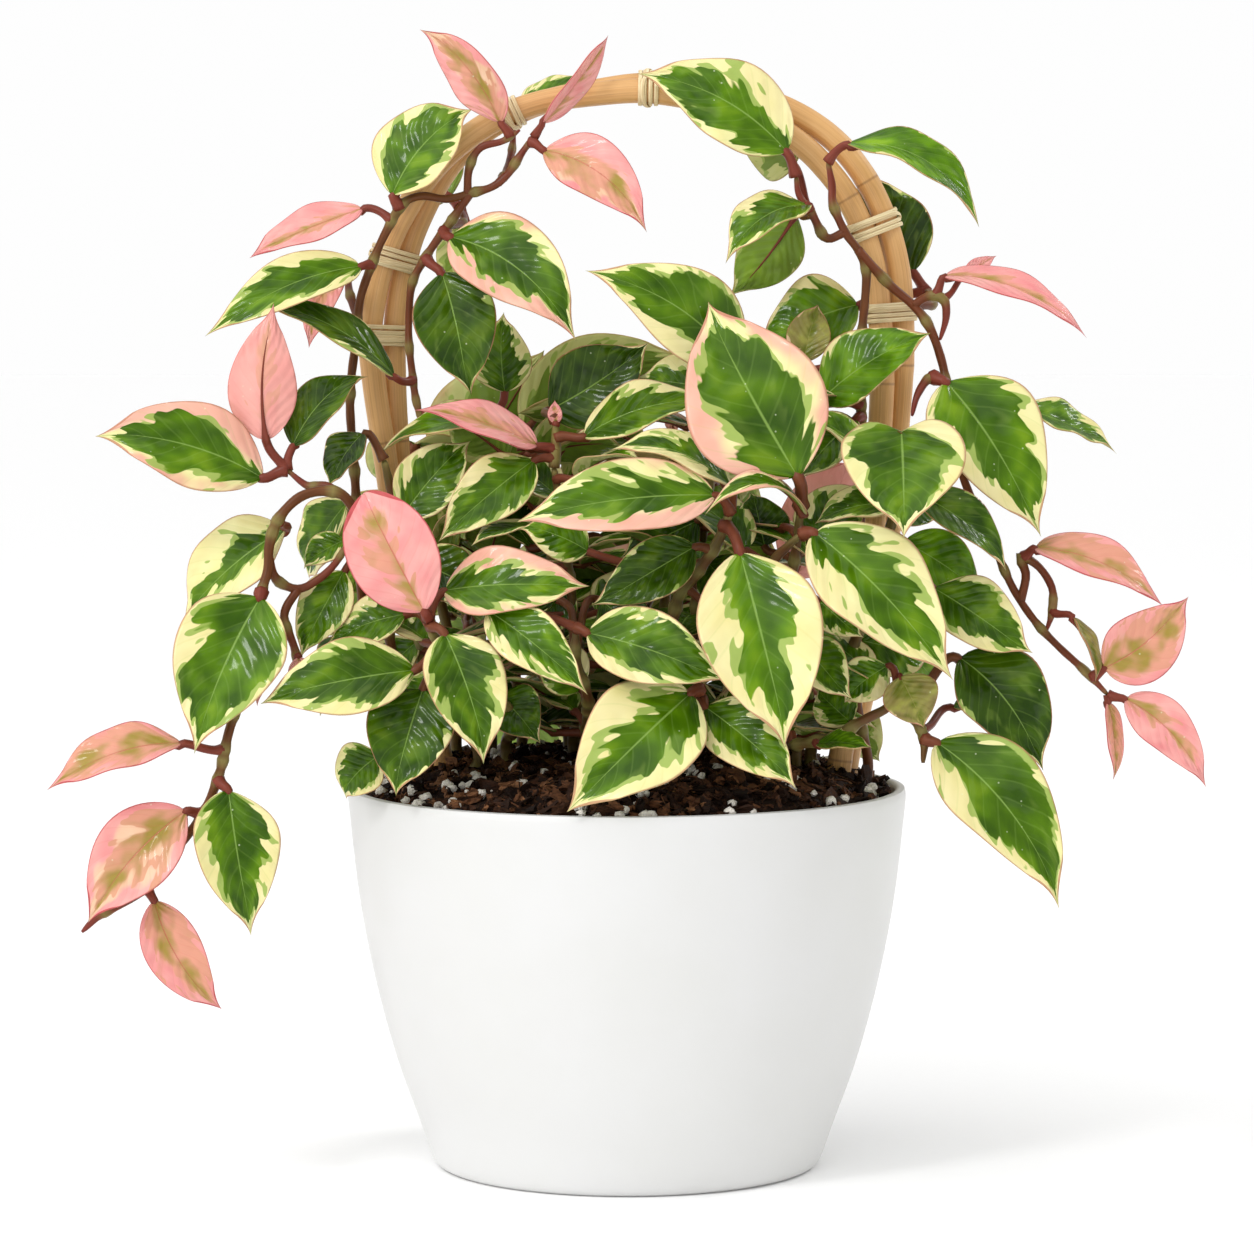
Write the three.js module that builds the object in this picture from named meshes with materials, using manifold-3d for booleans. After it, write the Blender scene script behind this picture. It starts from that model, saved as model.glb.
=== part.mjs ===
// A tricolor wax plant in a white tapered pot, climbing a hoop of two bent canes.
// Units are millimetres, +Z is up, +X is to the viewer's right and -Y is towards the viewer.
// The origin is the middle of the pot's underside.
// Every leafy stem is one solid: its stem, its leaf stalks and its blades are grown together.
import * as THREE from "three";
import { mergeVertices } from "three/addons/utils/BufferGeometryUtils.js";
import Module from "manifold-3d";

const wasm = await Module();
wasm.setup();

// Pot
const POT_HEIGHT = 127;
const POT_WALL = 3.6;
const POT_FLOOR = 5;
const POT_FLOOR_RADIUS = 58;
const POT_SIDES = 32;
// Outer profile as [radius, height], from the foot to just under the lip
const POT_OUTLINE = [
  [62, 0], [65, 2.5], [69.5, 15], [77, 36], [84, 62], [89.3, 90], [92.4, 117],
];
const LIP_RADIUS = 93;
const LIP_WIDTH = 3.8;
const LIP_CROWN = [1.6, 1.4];

// Soil: it is level with the lip at its edge and heaped up inside it
const SOIL_HEIGHT = 124;
const SOIL_MOUND = 11;
const SOIL_MOUND_POWER = 6;
const SOIL_CLUMP = 1.6;
const SOIL_WAVES = [0.41, 0.37];
const SOIL_RINGS = 4;
const SOIL_SIDES = 20;
const SOIL_GAP = 1;

// Hoop of two canes that twist round each other, held by ties
const CANE_RADIUS = 4.1;
const CANE_OFFSET = 4.65;
const CANE_DEPTH_IN_SOIL = 70;
const CANE_STEPS = 46;
const CANE_SIDES = 7;
const TIE_THICKNESS = 1.4;
const TIE_WIDTH = 6.6;
const TIE_SIDES = 12;

// Plant
const STEM_SIDES = 5;
const SHOOT_SIDES = 4;
const SHOOT_SHARE = 0.85;
const STEM_STEP = 16;
const SOIL_DEPTH = 14;
// Heights above the soil of the first points of every stem
const FOOT_RISES = [-SOIL_DEPTH, -3, 8];
// Room round a stem's foot in the soil
const FOOT_ROOM = 2;
const FOOT_SIDES = 6;
const STALK_RADIUS = 1.25;
const BLADE_THICKNESS = 1.7;
const GAP = 0.4;
const SHORTEST_EDGE = 0.01;

// The places of stems and leaves are read in a front view of the plant, 1254 pixels square.
// That view looks slightly down from VIEW_DISTANCE in front of the hoop.
const PIXEL = 1 / 3;
const VIEW_CENTRE = 627;
const VIEW_DISTANCE = 1590;
const VIEW_PITCH = THREE.MathUtils.degToRad(4.3);
const VIEW_HEIGHT = 180;

const forward = new THREE.Vector3(0, Math.cos(VIEW_PITCH), -Math.sin(VIEW_PITCH));
const upward = new THREE.Vector3(0, Math.sin(VIEW_PITCH), Math.cos(VIEW_PITCH));
const eye = new THREE.Vector3(0, 0, VIEW_HEIGHT).addScaledVector(forward, -VIEW_DISTANCE);

// The point that shows at a pixel of the front view, at a given depth behind the hoop's plane.
function seen([px, py, depth]) {
  const ray = forward.clone().multiplyScalar(VIEW_DISTANCE / PIXEL);
  ray.x += px - VIEW_CENTRE;
  ray.addScaledVector(upward, VIEW_CENTRE - py);
  return eye.clone().addScaledVector(ray, (depth - eye.y) / ray.y);
}

function smooth(points) {
  return new THREE.CatmullRomCurve3(points, false, "catmullrom", 0.5);
}

// Solids

function solidOf(geometry) {
  const bare = geometry.index ? geometry.toNonIndexed() : geometry.clone();
  bare.deleteAttribute("normal");
  bare.deleteAttribute("uv");
  const merged = mergeVertices(bare, 1e-4);
  const triVerts = new Uint32Array(merged.index.array);
  const vertProperties = new Float32Array(merged.attributes.position.array);
  const made = new wasm.Manifold(new wasm.Mesh({ numProp: 3, vertProperties, triVerts }));
  if (made.volume() > 0) return made;
  return new wasm.Manifold(
    new wasm.Mesh({ numProp: 3, vertProperties, triVerts: triVerts.slice().reverse() }),
  );
}

// A solid's mesh, with the hair-thin triangles that joining leaves closed up.
function geometryOf(solid) {
  const mesh = solid.getMesh();
  const stride = mesh.numProp;
  const positions = new Float32Array(mesh.numVert * 3);
  for (let i = 0; i < mesh.numVert; i++) {
    positions.set(mesh.vertProperties.subarray(i * stride, i * stride + 3), i * 3);
  }
  const geometry = new THREE.BufferGeometry()
    .setAttribute("position", new THREE.BufferAttribute(positions, 3))
    .setIndex(new THREE.BufferAttribute(mesh.triVerts, 1));
  const welded = mergeVertices(geometry, SHORTEST_EDGE);
  const corners = welded.index.array;
  const kept = [];
  for (let i = 0; i < corners.length; i += 3) {
    const face = [corners[i], corners[i + 1], corners[i + 2]];
    if (new Set(face).size === 3) kept.push(...face);
  }
  return welded.setIndex(kept);
}

function joined(solids) {
  return solids.reduce((all, next) => all.add(next));
}

// The outer body of a solid, without the small pockets that crossing leaves close in.
function filled(solid) {
  return solid.decompose().sort((a, b) => b.volume() - a.volume())[0];
}

// A round bar along a curve.
function bar(curve, radius, sides, steps) {
  const section = new THREE.Shape();
  for (let i = 0; i < sides; i++) {
    const angle = (2 * Math.PI * i) / sides;
    const [x, y] = [radius * Math.cos(angle), radius * Math.sin(angle)];
    if (i === 0) section.moveTo(x, y);
    else section.lineTo(x, y);
  }
  section.closePath();
  return solidOf(new THREE.ExtrudeGeometry(section, { steps, extrudePath: curve }));
}

// A three.js grid geometry whose every vertex is moved to place(row, column).
function formed(geometry, columns, place) {
  const at = geometry.attributes.position;
  for (let i = 0; i < at.count; i++) {
    const point = place(Math.floor(i / (columns + 1)), (i % (columns + 1)) % columns);
    at.setXYZ(i, point.x, point.y, point.z);
  }
  return solidOf(geometry);
}

// Pot and soil

function potInner() {
  return POT_OUTLINE.slice(2).map(([r, z]) => new THREE.Vector2(r - POT_WALL, z));
}

function potSolid() {
  const outer = POT_OUTLINE.map(([r, z]) => new THREE.Vector2(r, z));
  const [crownInset, crownDrop] = LIP_CROWN;
  const lip = [
    new THREE.Vector2(LIP_RADIUS, POT_HEIGHT - crownDrop),
    new THREE.Vector2(LIP_RADIUS - crownInset, POT_HEIGHT),
    new THREE.Vector2(LIP_RADIUS - LIP_WIDTH, POT_HEIGHT - crownDrop),
  ];
  const inner = [...potInner().reverse(), new THREE.Vector2(POT_FLOOR_RADIUS, POT_FLOOR)];
  const profile = [new THREE.Vector2(0, 0), ...outer, ...lip, ...inner];
  profile.push(new THREE.Vector2(0, POT_FLOOR));
  return solidOf(new THREE.LatheGeometry(profile, POT_SIDES).rotateX(Math.PI / 2));
}

// Height of the soil's mound at a point, without its clumps.
function soilTop(x, y) {
  const share = Math.hypot(x, y) / (LIP_RADIUS - POT_WALL);
  return SOIL_HEIGHT + SOIL_MOUND * (1 - share ** SOIL_MOUND_POWER);
}

function soilSolid(holes) {
  const wall = [
    new THREE.Vector2(POT_FLOOR_RADIUS - SOIL_GAP, POT_FLOOR + GAP),
    ...potInner().map((p) => new THREE.Vector2(p.x - SOIL_GAP, p.y)),
  ].filter((p) => p.y < SOIL_HEIGHT);
  const reach = wall[wall.length - 1].x;
  const profile = [new THREE.Vector2(0, POT_FLOOR + GAP), ...wall];
  profile.push(new THREE.Vector2(reach + 0.5, SOIL_HEIGHT - 1));
  for (let ring = SOIL_RINGS; ring > 0; ring--) {
    const r = ((reach - 1) * ring) / SOIL_RINGS;
    profile.push(new THREE.Vector2(r, soilTop(r, 0)));
  }
  profile.push(new THREE.Vector2(0, soilTop(0, 0)));
  const geometry = new THREE.LatheGeometry(profile, SOIL_SIDES).rotateX(Math.PI / 2);
  const at = geometry.attributes.position;
  for (let i = 0; i < at.count; i++) {
    const [x, y, z] = [at.getX(i), at.getY(i), at.getZ(i)];
    const onTop = Math.hypot(x, y) < reach - 2 && z > SOIL_HEIGHT - 0.5;
    const wave = Math.sin(x * SOIL_WAVES[0] + 1) * Math.cos(y * SOIL_WAVES[1]);
    if (onTop) at.setZ(i, z + SOIL_CLUMP * wave);
  }
  return solidOf(geometry).subtract(joined(holes));
}

// Hoop

// The hoop's middle line in the front view, from the left foot to the right one
const HOOP_FEET = [new THREE.Vector3(-62, 0, 0), new THREE.Vector3(72, 0, 0)];
const HOOP_ROUTE = [
  [424, 680], [404, 560], [391, 450], [384, 380], [383, 325], [394, 262], [414, 212], [446, 162],
  [490, 125], [540, 103], [600, 92], [650, 88], [710, 95], [768, 112], [815, 140], [850, 178],
  [873, 222], [886, 268], [891, 318], [892, 370], [888, 440], [878, 560], [860, 680],
];
// How the pair is turned at even steps along the hoop, in degrees: 90 puts the first cane in front
const HOOP_TWIST = [90, 90, 150, 100, 75, 20, 35, 60, 90];

function hoopCurve() {
  const [left, right] = HOOP_FEET;
  const foot = (at, z) => new THREE.Vector3(at.x, at.y, z);
  const low = SOIL_HEIGHT - CANE_DEPTH_IN_SOIL;
  return smooth([
    foot(left, low), foot(left, SOIL_HEIGHT - 20), foot(left, SOIL_HEIGHT + 8),
    ...HOOP_ROUTE.map(([px, py]) => seen([px, py, 0])),
    foot(right, SOIL_HEIGHT + 8), foot(right, SOIL_HEIGHT - 20), foot(right, low),
  ]);
}

const hoop = hoopCurve();

// The two canes' middles, the hoop's direction and its outward direction at a share of its length.
function hoopFrame(t) {
  const along = hoop.getTangent(t);
  const back = new THREE.Vector3(0, 1, 0);
  const outward = new THREE.Vector3().crossVectors(back, along).normalize();
  const place = t * (HOOP_TWIST.length - 1);
  const k = Math.min(Math.floor(place), HOOP_TWIST.length - 2);
  const turn = THREE.MathUtils.lerp(HOOP_TWIST[k], HOOP_TWIST[k + 1], place - k);
  const angle = THREE.MathUtils.degToRad(turn);
  const aside = outward.clone().multiplyScalar(CANE_OFFSET * Math.cos(angle));
  aside.addScaledVector(back, -CANE_OFFSET * Math.sin(angle));
  const middle = hoop.getPoint(t);
  return { along, outward, back, canes: [middle.clone().add(aside), middle.clone().sub(aside)] };
}

function caneSolid(which, extra) {
  const points = [];
  for (let i = 0; i <= CANE_STEPS; i++) points.push(hoopFrame(i / CANE_STEPS).canes[which]);
  return bar(smooth(points), CANE_RADIUS + extra, CANE_SIDES, CANE_STEPS);
}

// Where each tie sits in the front view
const TIES = [
  { name: "tie_left_low", at: [383, 335] },
  { name: "tie_left_high", at: [394, 260] },
  { name: "tie_top_left", at: [512, 115] },
  { name: "tie_top", at: [648, 88] },
  { name: "tie_right_high", at: [875, 226] },
  { name: "tie_right_low", at: [891, 312] },
];
// The tie's section as [along the hoop, outwards]: flat inside, a raised turn at each end outside
const TIE_SECTION = [[-0.5, 0], [0.5, 0], [0.36, 1], [0, 0.7], [-0.36, 1]];
const SAMPLES = 400;

function nearestShare(curve, point) {
  let best = 0;
  let least = Infinity;
  for (let i = 0; i <= SAMPLES; i++) {
    const away = curve.getPoint(i / SAMPLES).distanceTo(point);
    if (away < least) [best, least] = [i / SAMPLES, away];
  }
  return best;
}

function tieSolid(tie) {
  const { along, outward, back, canes } = hoopFrame(nearestShare(hoop, seen([...tie.at, 0])));
  const middle = canes[0].clone().add(canes[1]).multiplyScalar(0.5);
  const torus = new THREE.TorusGeometry(1, 0.5, TIE_SECTION.length, TIE_SIDES);
  return formed(torus, TIE_SIDES, (row, column) => {
    const angle = (2 * Math.PI * column) / TIE_SIDES;
    const way = outward.clone().multiplyScalar(Math.cos(angle));
    way.addScaledVector(back, Math.sin(angle));
    const aside = canes.map((centre) => centre.clone().sub(middle));
    const outer = aside[0].dot(way) > aside[1].dot(way) ? aside[0] : aside[1];
    outer.addScaledVector(along, -outer.dot(along));
    const [length, height] = TIE_SECTION[row % TIE_SECTION.length];
    return middle.clone().add(outer)
      .addScaledVector(way, CANE_RADIUS + 2 * GAP + height * TIE_THICKNESS)
      .addScaledVector(along, length * TIE_WIDTH);
  });
}

// Plant

// The ways a leaf's upper side can face
const FRONT = [0, -1, 0.35];
const UP = [0, -0.5, 1];
const LEFT = [-1, -1, 0.4];
const RIGHT = [1, -1, 0.4];
const AWAY = [0, 1, 0.3];

// Each stem rises from its foot, [x, y] on the soil, along a route of [px, py, depth] in the view.
// Shoots branch off it. Each leaf is [base, tip, width in mm, facing, arch, bow]: the arch lifts its
// middle and the bow moves it sideways, both as shares of its length.
const STEMS = [
  {
    name: "vine_left",
    radius: 1.6,
    foot: [-74, 10],
    route: [
      [372, 690, -12], [362, 600, -12], [355, 478, -13], [350, 400, -14], [356, 340, -14],
      [360, 300, -14], [372, 264, -15], [384, 236, -15], [402, 205, -15], [421, 196, -15],
      [447, 199, -15], [471, 193, -15], [492, 187, -15], [507, 175, -15], [516, 162, -15],
      [524, 150, -15], [534, 137, -15],
    ],
    shoots: [
      [
        [471, 193, -15], [448, 226, -14], [440, 236, -13], [424, 260, -12], [412, 284, -11],
        [409, 318, -11], [409, 343, -12], [412, 371, -13], [416, 400, -14], [424, 430, -15],
      ],
      [[465, 186, -15], [469, 169, -15], [480, 148, -16], [503, 141, -17], [520, 130, -17]],
      [[498, 184, -15], [506, 172, -2], [512, 150, 12], [514, 124, 15]],
      [[358, 318, -14], [349, 290, -3], [349, 264, 12]],
      [[448, 226, -14], [464, 222, 0], [460, 208, 15]],
    ],
    leaves: [
      [[502, 127, -17], [422, 26, -22], 18, LEFT, 0.05, 0.13],
      [[540, 127, -16], [611, 33, -8], 12, [1, -0.7, -0.4], 0.08, -0.08],
      [[539, 150, -18], [648, 232, -32], 21, FRONT, 0.1, -0.09],
      [[517, 110, 17], [596, 76, 20], 14, UP, 0.06],
      [[391, 200, -17], [472, 108, -12], 31, [-0.5, -1, 0.4], 0.08, -0.07],
      [[367, 207, -12], [248, 256, -24], 17, [0, -0.8, 0.9], 0.01],
      [[367, 266, -18], [206, 338, -32], 20, [0.2, -1, 0.8], 0.14],
      [[348, 258, 17], [312, 349, 18], 12, FRONT, 0.08, 0.08],
      [[398, 381, -20], [259, 303, -30], 17, [0.3, -0.8, 1], 0.12],
      [[444, 236, -18], [577, 341, -38], 31, [0.1, -1, 0.45], 0.1, -0.07],
      [[440, 269, -16], [468, 396, -26], 28, FRONT, 0.08, -0.04],
      [[505, 395, 6], [503, 312, 8], 21, FRONT, 0.06],
      [[452, 200, 19], [385, 130, 26], 24, AWAY, 0.1],
      [[466, 220, 18], [474, 320, 28], 24, AWAY, 0.1],
      [[350, 500, -8], [306, 580, 8], 24, LEFT, 0.08],
      [[364, 640, -6], [320, 720, 8], 24, LEFT, 0.08],
    ],
  },
  {
    name: "vine_trailing",
    radius: 1.7,
    foot: [-66, -20],
    route: [
      [402, 700, -40], [384, 610, -42], [362, 530, -46], [346, 498, -48], [327, 491, -48],
      [304, 495, -49], [287, 508, -50], [275, 526, -50], [269, 548, -51], [268, 570, -52],
      [262, 590, -54], [250, 640, -58], [240, 694, -60], [228, 735, -62], [220, 772, -62],
      [205, 810, -62], [190, 832, -62], [170, 858, -62], [150, 885, -62], [125, 902, -62],
      [100, 915, -62], [82, 932, -62],
    ],
    shoots: [
      [[346, 498, -48], [327, 486, -44], [308, 486, -43], [287, 470, -43]],
      [
        [269, 556, -51], [276, 579, -48], [297, 589, -46], [316, 581, -45], [334, 565, -45],
        [348, 543, -46],
      ],
      [[297, 589, -46], [286, 608, -48], [285, 623, -49], [295, 650, -50], [303, 690, -50]],
    ],
    leaves: [
      [[267, 446, -44], [277, 304, -40], 23, AWAY, -0.06, 0.05],
      [[268, 482, -44], [95, 434, -56], 30, [0.1, -1, 0.4], 0.08, 0.06],
      [[291, 450, -40], [366, 372, -26], 20, [-0.3, -0.8, 0.8], 0.12],
      [[291, 526, -40], [182, 622, -34], 31, LEFT, 0.1],
      [[264, 592, -56], [194, 754, -70], 37, FRONT, 0.07, 0.03],
      [[187, 743, -62], [47, 791, -70], 21, [0.1, -0.7, 1], 0.12],
      [[191, 808, -64], [89, 923, -72], 27, FRONT, 0.08, 0.06],
      [[228, 785, -64], [253, 936, -72], 29, [0.3, -1, 0.4], 0.07, 0.05],
      [[153, 896, -63], [222, 1010, -66], 19, FRONT, 0.06, 0.07],
      [[268, 640, -58], [256, 707, -60], 7, FRONT, 0.06],
      [[299, 655, -52], [305, 706, -54], 8, FRONT, 0.04],
    ],
  },
  {
    name: "vine_right",
    radius: 1.7,
    foot: [80, -6],
    route: [
      [856, 690, -14], [860, 560, -14], [861, 430, -14], [862, 338, -14], [865, 300, -15],
      [866, 270, -15], [858, 250, -16], [845, 232, -16], [833, 204, -16], [832, 185, -15],
      [828, 162, -15],
    ],
    shoots: [
      [
        [858, 250, -16], [874, 268, -16], [892, 287, -16], [914, 306, -16], [930, 328, -17],
        [942, 362, -18], [947, 390, -20], [951, 424, -22], [958, 460, -24], [970, 495, -26],
        [988, 530, -28], [1003, 567, -30], [1018, 597, -31], [1038, 625, -32], [1060, 648, -33],
        [1084, 670, -34], [1108, 695, -35],
      ],
      [[845, 232, -16], [826, 238, -15], [812, 214, -15], [799, 195, -15], [796, 176, -15]],
      [[914, 306, -16], [930, 296, -18], [944, 300, -19], [946, 318, -19], [940, 340, -18]],
      [[914, 306, -16], [934, 304, -3], [926, 292, 14]],
      [[946, 384, -20], [938, 377, -22], [927, 380, -25], [917, 396, -28], [912, 416, -30]],
      [[812, 214, -15], [803, 216, -4], [808, 208, 10]],
      [
        [1024, 600, -31], [1026, 575, -30], [1020, 557, -29], [1038, 566, -29], [1052, 588, -30],
        [1052, 612, -31], [1046, 632, -32],
      ],
    ],
    leaves: [
      [[791, 157, -17], [636, 74, -14], 30, [-0.2, -1, 0.5], 0.1, 0.07],
      [[841, 145, -17], [983, 226, -28], 22, [0.1, -0.6, 1], 0.2],
      [[916, 276, 17], [864, 168, 20], 29, FRONT, 0.06, -0.06],
      [[812, 206, -17], [724, 263, -30], 24, [0, -0.45, 1], 0.19],
      [[798, 211, 6], [731, 297, 8], 23, AWAY, -0.08],
      [[938, 276, -18], [1089, 336, -28], 16, [0, -0.6, 1], 0.12],
      [[963, 276, -20], [996, 255, -14], 6, FRONT, 0],
      [[862, 304, 12], [757, 345, 14], 29, [0, -1, 0.6], 0.1],
      [[804, 365, -8], [820, 304, -6], 15, FRONT, 0.04, -0.04],
      [[818, 404, -18], [932, 333, -24], 27, [0, -0.9, 0.8], 0.09],
      [[941, 377, -26], [1040, 538, -40], 40, [0.35, -1, 0.35], 0.08],
      [[1020, 408, 0], [1119, 450, 6], 22, UP, 0.03],
      [[1029, 548, -32], [1163, 606, -40], 22, [0, -0.65, 1], 0.13],
      [[1100, 670, -36], [1187, 594, -38], 24, [0.3, -1, 0.2], 0.08, 0.06],
      [[1121, 697, -36], [1206, 789, -44], 17, FRONT, 0.1, -0.08],
      [[1107, 699, -35], [1116, 783, -34], 9, RIGHT, 0.06],
      [[1072, 615, -36], [1100, 682, -40], 11, [1, -0.5, 0.3], 0.05],
      [[796, 168, 4], [722, 104, 26], 25, AWAY, 0.1],
      [[858, 418, -18], [796, 484, -24], 26, LEFT, 0.08],
      [[866, 480, -8], [938, 520, 10], 24, RIGHT, 0.08],
      [[864, 620, -8], [940, 690, 8], 24, RIGHT, 0.08],
    ],
  },
  {
    name: "spray_top_left",
    radius: 1.9,
    foot: [-18, 12],
    route: [[582, 700, -12], [572, 600, -18], [562, 520, -24], [554, 468, -26]],
    shoots: [[[554, 468, -26], [556, 440, -26], [555, 420, -26]]],
    leaves: [
      [[542, 448, -28], [414, 407, -40], 19, [0.1, -0.7, 0.9], 0.06],
      [[541, 452, -26], [376, 453, -34], 27, [0, -0.35, 1], 0.2],
      [[537, 458, -28], [438, 541, -44], 22, [0.2, -1, 0.6], 0.06],
      [[580, 440, -28], [715, 400, -34], 25, [0, -0.8, 1], 0.1],
      [[556, 425, -26], [555, 400, -26], 5, FRONT, 0],
      [[545, 412, -10], [650, 342, -8], 28, FRONT, 0.08, 0.07],
      [[560, 500, -20], [498, 462, -10], 21, UP, 0.08],
      [[570, 580, -14], [520, 640, -16], 20, FRONT, 0.08],
    ],
  },
  {
    name: "spray_top_mid",
    radius: 1.9,
    foot: [20, 14],
    route: [[690, 700, -8], [700, 560, -14], [716, 440, -24], [738, 392, -28]],
    shoots: [],
    leaves: [
      [[742, 372, -30], [584, 272, -38], 31, [-0.1, -1, 0.5], 0.1, 0.06],
      [[730, 395, -20], [634, 380, -14], 26, [0, -0.8, 0.8], 0.08],
      [[745, 400, -18], [800, 345, -8], 24, FRONT, 0.08],
      [[700, 520, -18], [620, 560, -22], 22, FRONT, 0.08],
      [[704, 560, -10], [756, 620, -16], 22, FRONT, 0.08],
    ],
  },
  {
    name: "spray_centre_high",
    radius: 1.9,
    foot: [48, 8],
    route: [[772, 700, -24], [786, 620, -36], [797, 540, -45], [801, 506, -51]],
    shoots: [],
    leaves: [
      [[802, 484, -60], [704, 302, -46], 47, [-0.25, -1, 0.35], 0.07],
      [[765, 548, -34], [752, 490, -32], 20, FRONT, 0.06],
      [[808, 520, -54], [700, 512, -72], 14, [0, -0.5, 1], 0.3],
      [[803, 552, -34], [868, 484, -30], 24, [0, -0.8, 0.7], 0.08],
      [[784, 630, -30], [832, 690, -38], 21, FRONT, 0.08],
      [[776, 670, -26], [722, 716, -34], 20, FRONT, 0.08],
    ],
  },
  {
    name: "spray_centre",
    radius: 2.1,
    foot: [6, -2],
    route: [[662, 700, -34], [676, 605, -44], [696, 574, -48], [716, 545, -52], [730, 512, -56]],
    shoots: [],
    leaves: [
      [[722, 496, -62], [516, 521, -72], 27, [0, -1, 0.55], 0.1],
      [[735, 492, -52], [608, 448, -54], 24, [0, -0.5, 1], 0.16],
      [[698, 545, -52], [592, 608, -60], 20, [0.1, -1, 0.3], 0.06],
      [[590, 552, -46], [520, 525, -48], 17, FRONT, 0.06],
      [[738, 546, -66], [789, 748, -86], 41, FRONT, 0.07],
      [[700, 600, -46], [780, 640, -52], 20, FRONT, 0.08],
    ],
  },
  {
    name: "spray_front_right",
    radius: 1.9,
    foot: [36, -8],
    route: [[752, 700, -38], [762, 620, -46], [772, 566, -55], [788, 546, -60], [802, 534, -62]],
    shoots: [],
    leaves: [
      [[808, 528, -64], [953, 682, -80], 36, [0.2, -1, 0.4], 0.08],
      [[818, 600, -44], [862, 640, -48], 14, FRONT, 0.06],
      [[800, 640, -50], [850, 700, -62], 18, FRONT, 0.06],
    ],
  },
  {
    name: "spray_left",
    radius: 1.9,
    foot: [-40, -6],
    route: [[520, 720, -40], [480, 690, -50], [450, 660, -56], [434, 636, -60], [428, 618, -62]],
    shoots: [],
    leaves: [
      [[427, 616, -66], [362, 492, -64], 30, [-0.2, -1, 0.2], 0.08],
      [[440, 592, -56], [590, 588, -66], 26, [0, -0.9, 0.6], 0.1],
      [[443, 630, -66], [487, 763, -78], 27, [0.2, -1, 0.3], 0.07],
      [[420, 670, -62], [259, 701, -70], 27, [0, -1, 0.5], 0.1],
      [[424, 686, -58], [393, 795, -72], 29, FRONT, 0.07],
      [[382, 754, -50], [341, 797, -48], 20, [-0.4, -1, 0.4], 0.1],
      [[408, 614, -44], [326, 646, -40], 18, LEFT, 0.08],
      [[496, 694, -38], [540, 744, -56], 19, FRONT, 0.08],
      [[450, 676, -47], [404, 728, -40], 19, LEFT, 0.08],
    ],
  },
  {
    name: "spray_front_left",
    radius: 1.9,
    foot: [-14, -14],
    route: [[588, 700, -52], [576, 660, -60], [576, 628, -66]],
    shoots: [],
    leaves: [
      [[484, 608, -66], [590, 694, -80], 20, [0, -1, 0.4], 0.08],
      [[582, 632, -68], [728, 684, -80], 26, [0, -1, 0.4], 0.08],
      [[560, 600, -40], [480, 570, -44], 20, FRONT, 0.06],
      [[600, 600, -36], [660, 640, -46], 18, FRONT, 0.06],
      [[584, 690, -48], [534, 650, -42], 18, FRONT, 0.08],
    ],
  },
  {
    name: "spray_front",
    radius: 1.9,
    foot: [18, -20],
    route: [[700, 740, -54], [704, 712, -60], [700, 690, -66]],
    shoots: [],
    leaves: [
      [[695, 690, -68], [568, 813, -97], 37, [0, -1, 0.45], 0.08],
      [[702, 705, -66], [799, 786, -84], 23, [0, -1, 0.4], 0.08],
    ],
  },
  {
    name: "spray_low_right",
    radius: 1.8,
    foot: [56, -14],
    route: [
      [795, 745, -44], [837, 736, -50], [860, 722, -52], [884, 710, -53], [899, 700, -54],
      [914, 718, -55], [924, 738, -55], [923, 763, -56],
    ],
    shoots: [],
    leaves: [
      [[930, 738, -57], [1062, 908, -74], 33, [0.2, -1, 0.35], 0.08, -0.05],
      [[899, 675, -54], [924, 728, -58], 19, FRONT, 0.06],
      [[889, 665, -50], [843, 702, -50], 16, FRONT, 0.06],
      [[815, 745, -52], [872, 749, -60], 13, UP, 0.08],
      [[950, 706, -40], [1030, 733, -42], 16, UP, 0.1],
      [[955, 655, -44], [1042, 772, -54], 31, [0.2, -1, 0.4], 0.08, -0.06],
      [[852, 724, -44], [816, 690, -36], 16, FRONT, 0.08],
    ],
  },
  {
    name: "spray_right",
    radius: 2,
    foot: [62, -2],
    route: [[842, 680, -34], [874, 580, -44], [898, 500, -50], [908, 450, -52]],
    shoots: [],
    leaves: [
      [[901, 428, -50], [904, 537, -86], 41, [0, -0.75, 1], 0.05],
      [[905, 505, -46], [812, 524, -44], 21, [0, -0.6, 1], 0.12],
      [[905, 490, -50], [1011, 568, -54], 20, [0.1, -0.7, 0.9], 0.12],
      [[900, 540, -30], [984, 597, -24], 21, FRONT, 0.08],
      [[930, 586, -44], [1031, 656, -52], 25, [0.2, -1, 0.5], 0.08, 0.03],
      [[850, 650, -28], [904, 616, -16], 20, FRONT, 0.08],
      [[846, 670, -26], [788, 652, -22], 19, FRONT, 0.08],
      [[856, 640, -28], [930, 660, -14], 22, FRONT, 0.08],
    ],
  },
  {
    name: "spray_left_high",
    radius: 2,
    foot: [-50, -16],
    route: [[432, 700, -20], [416, 600, -24], [398, 520, -26], [384, 460, -26]],
    shoots: [],
    leaves: [
      [[365, 432, -26], [330, 488, -30], 19, LEFT, 0.08],
      [[346, 540, -34], [300, 566, -36], 14, LEFT, 0.08],
      [[346, 568, -38], [297, 657, -38], 18, FRONT, 0.08],
      [[400, 520, -30], [470, 440, -22], 22, FRONT, 0.08],
      [[410, 560, -34], [490, 600, -40], 20, FRONT, 0.08],
      [[420, 640, -16], [366, 706, -16], 22, LEFT, 0.08],
      [[426, 668, -14], [484, 640, -12], 21, FRONT, 0.08],
    ],
  },
];

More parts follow.
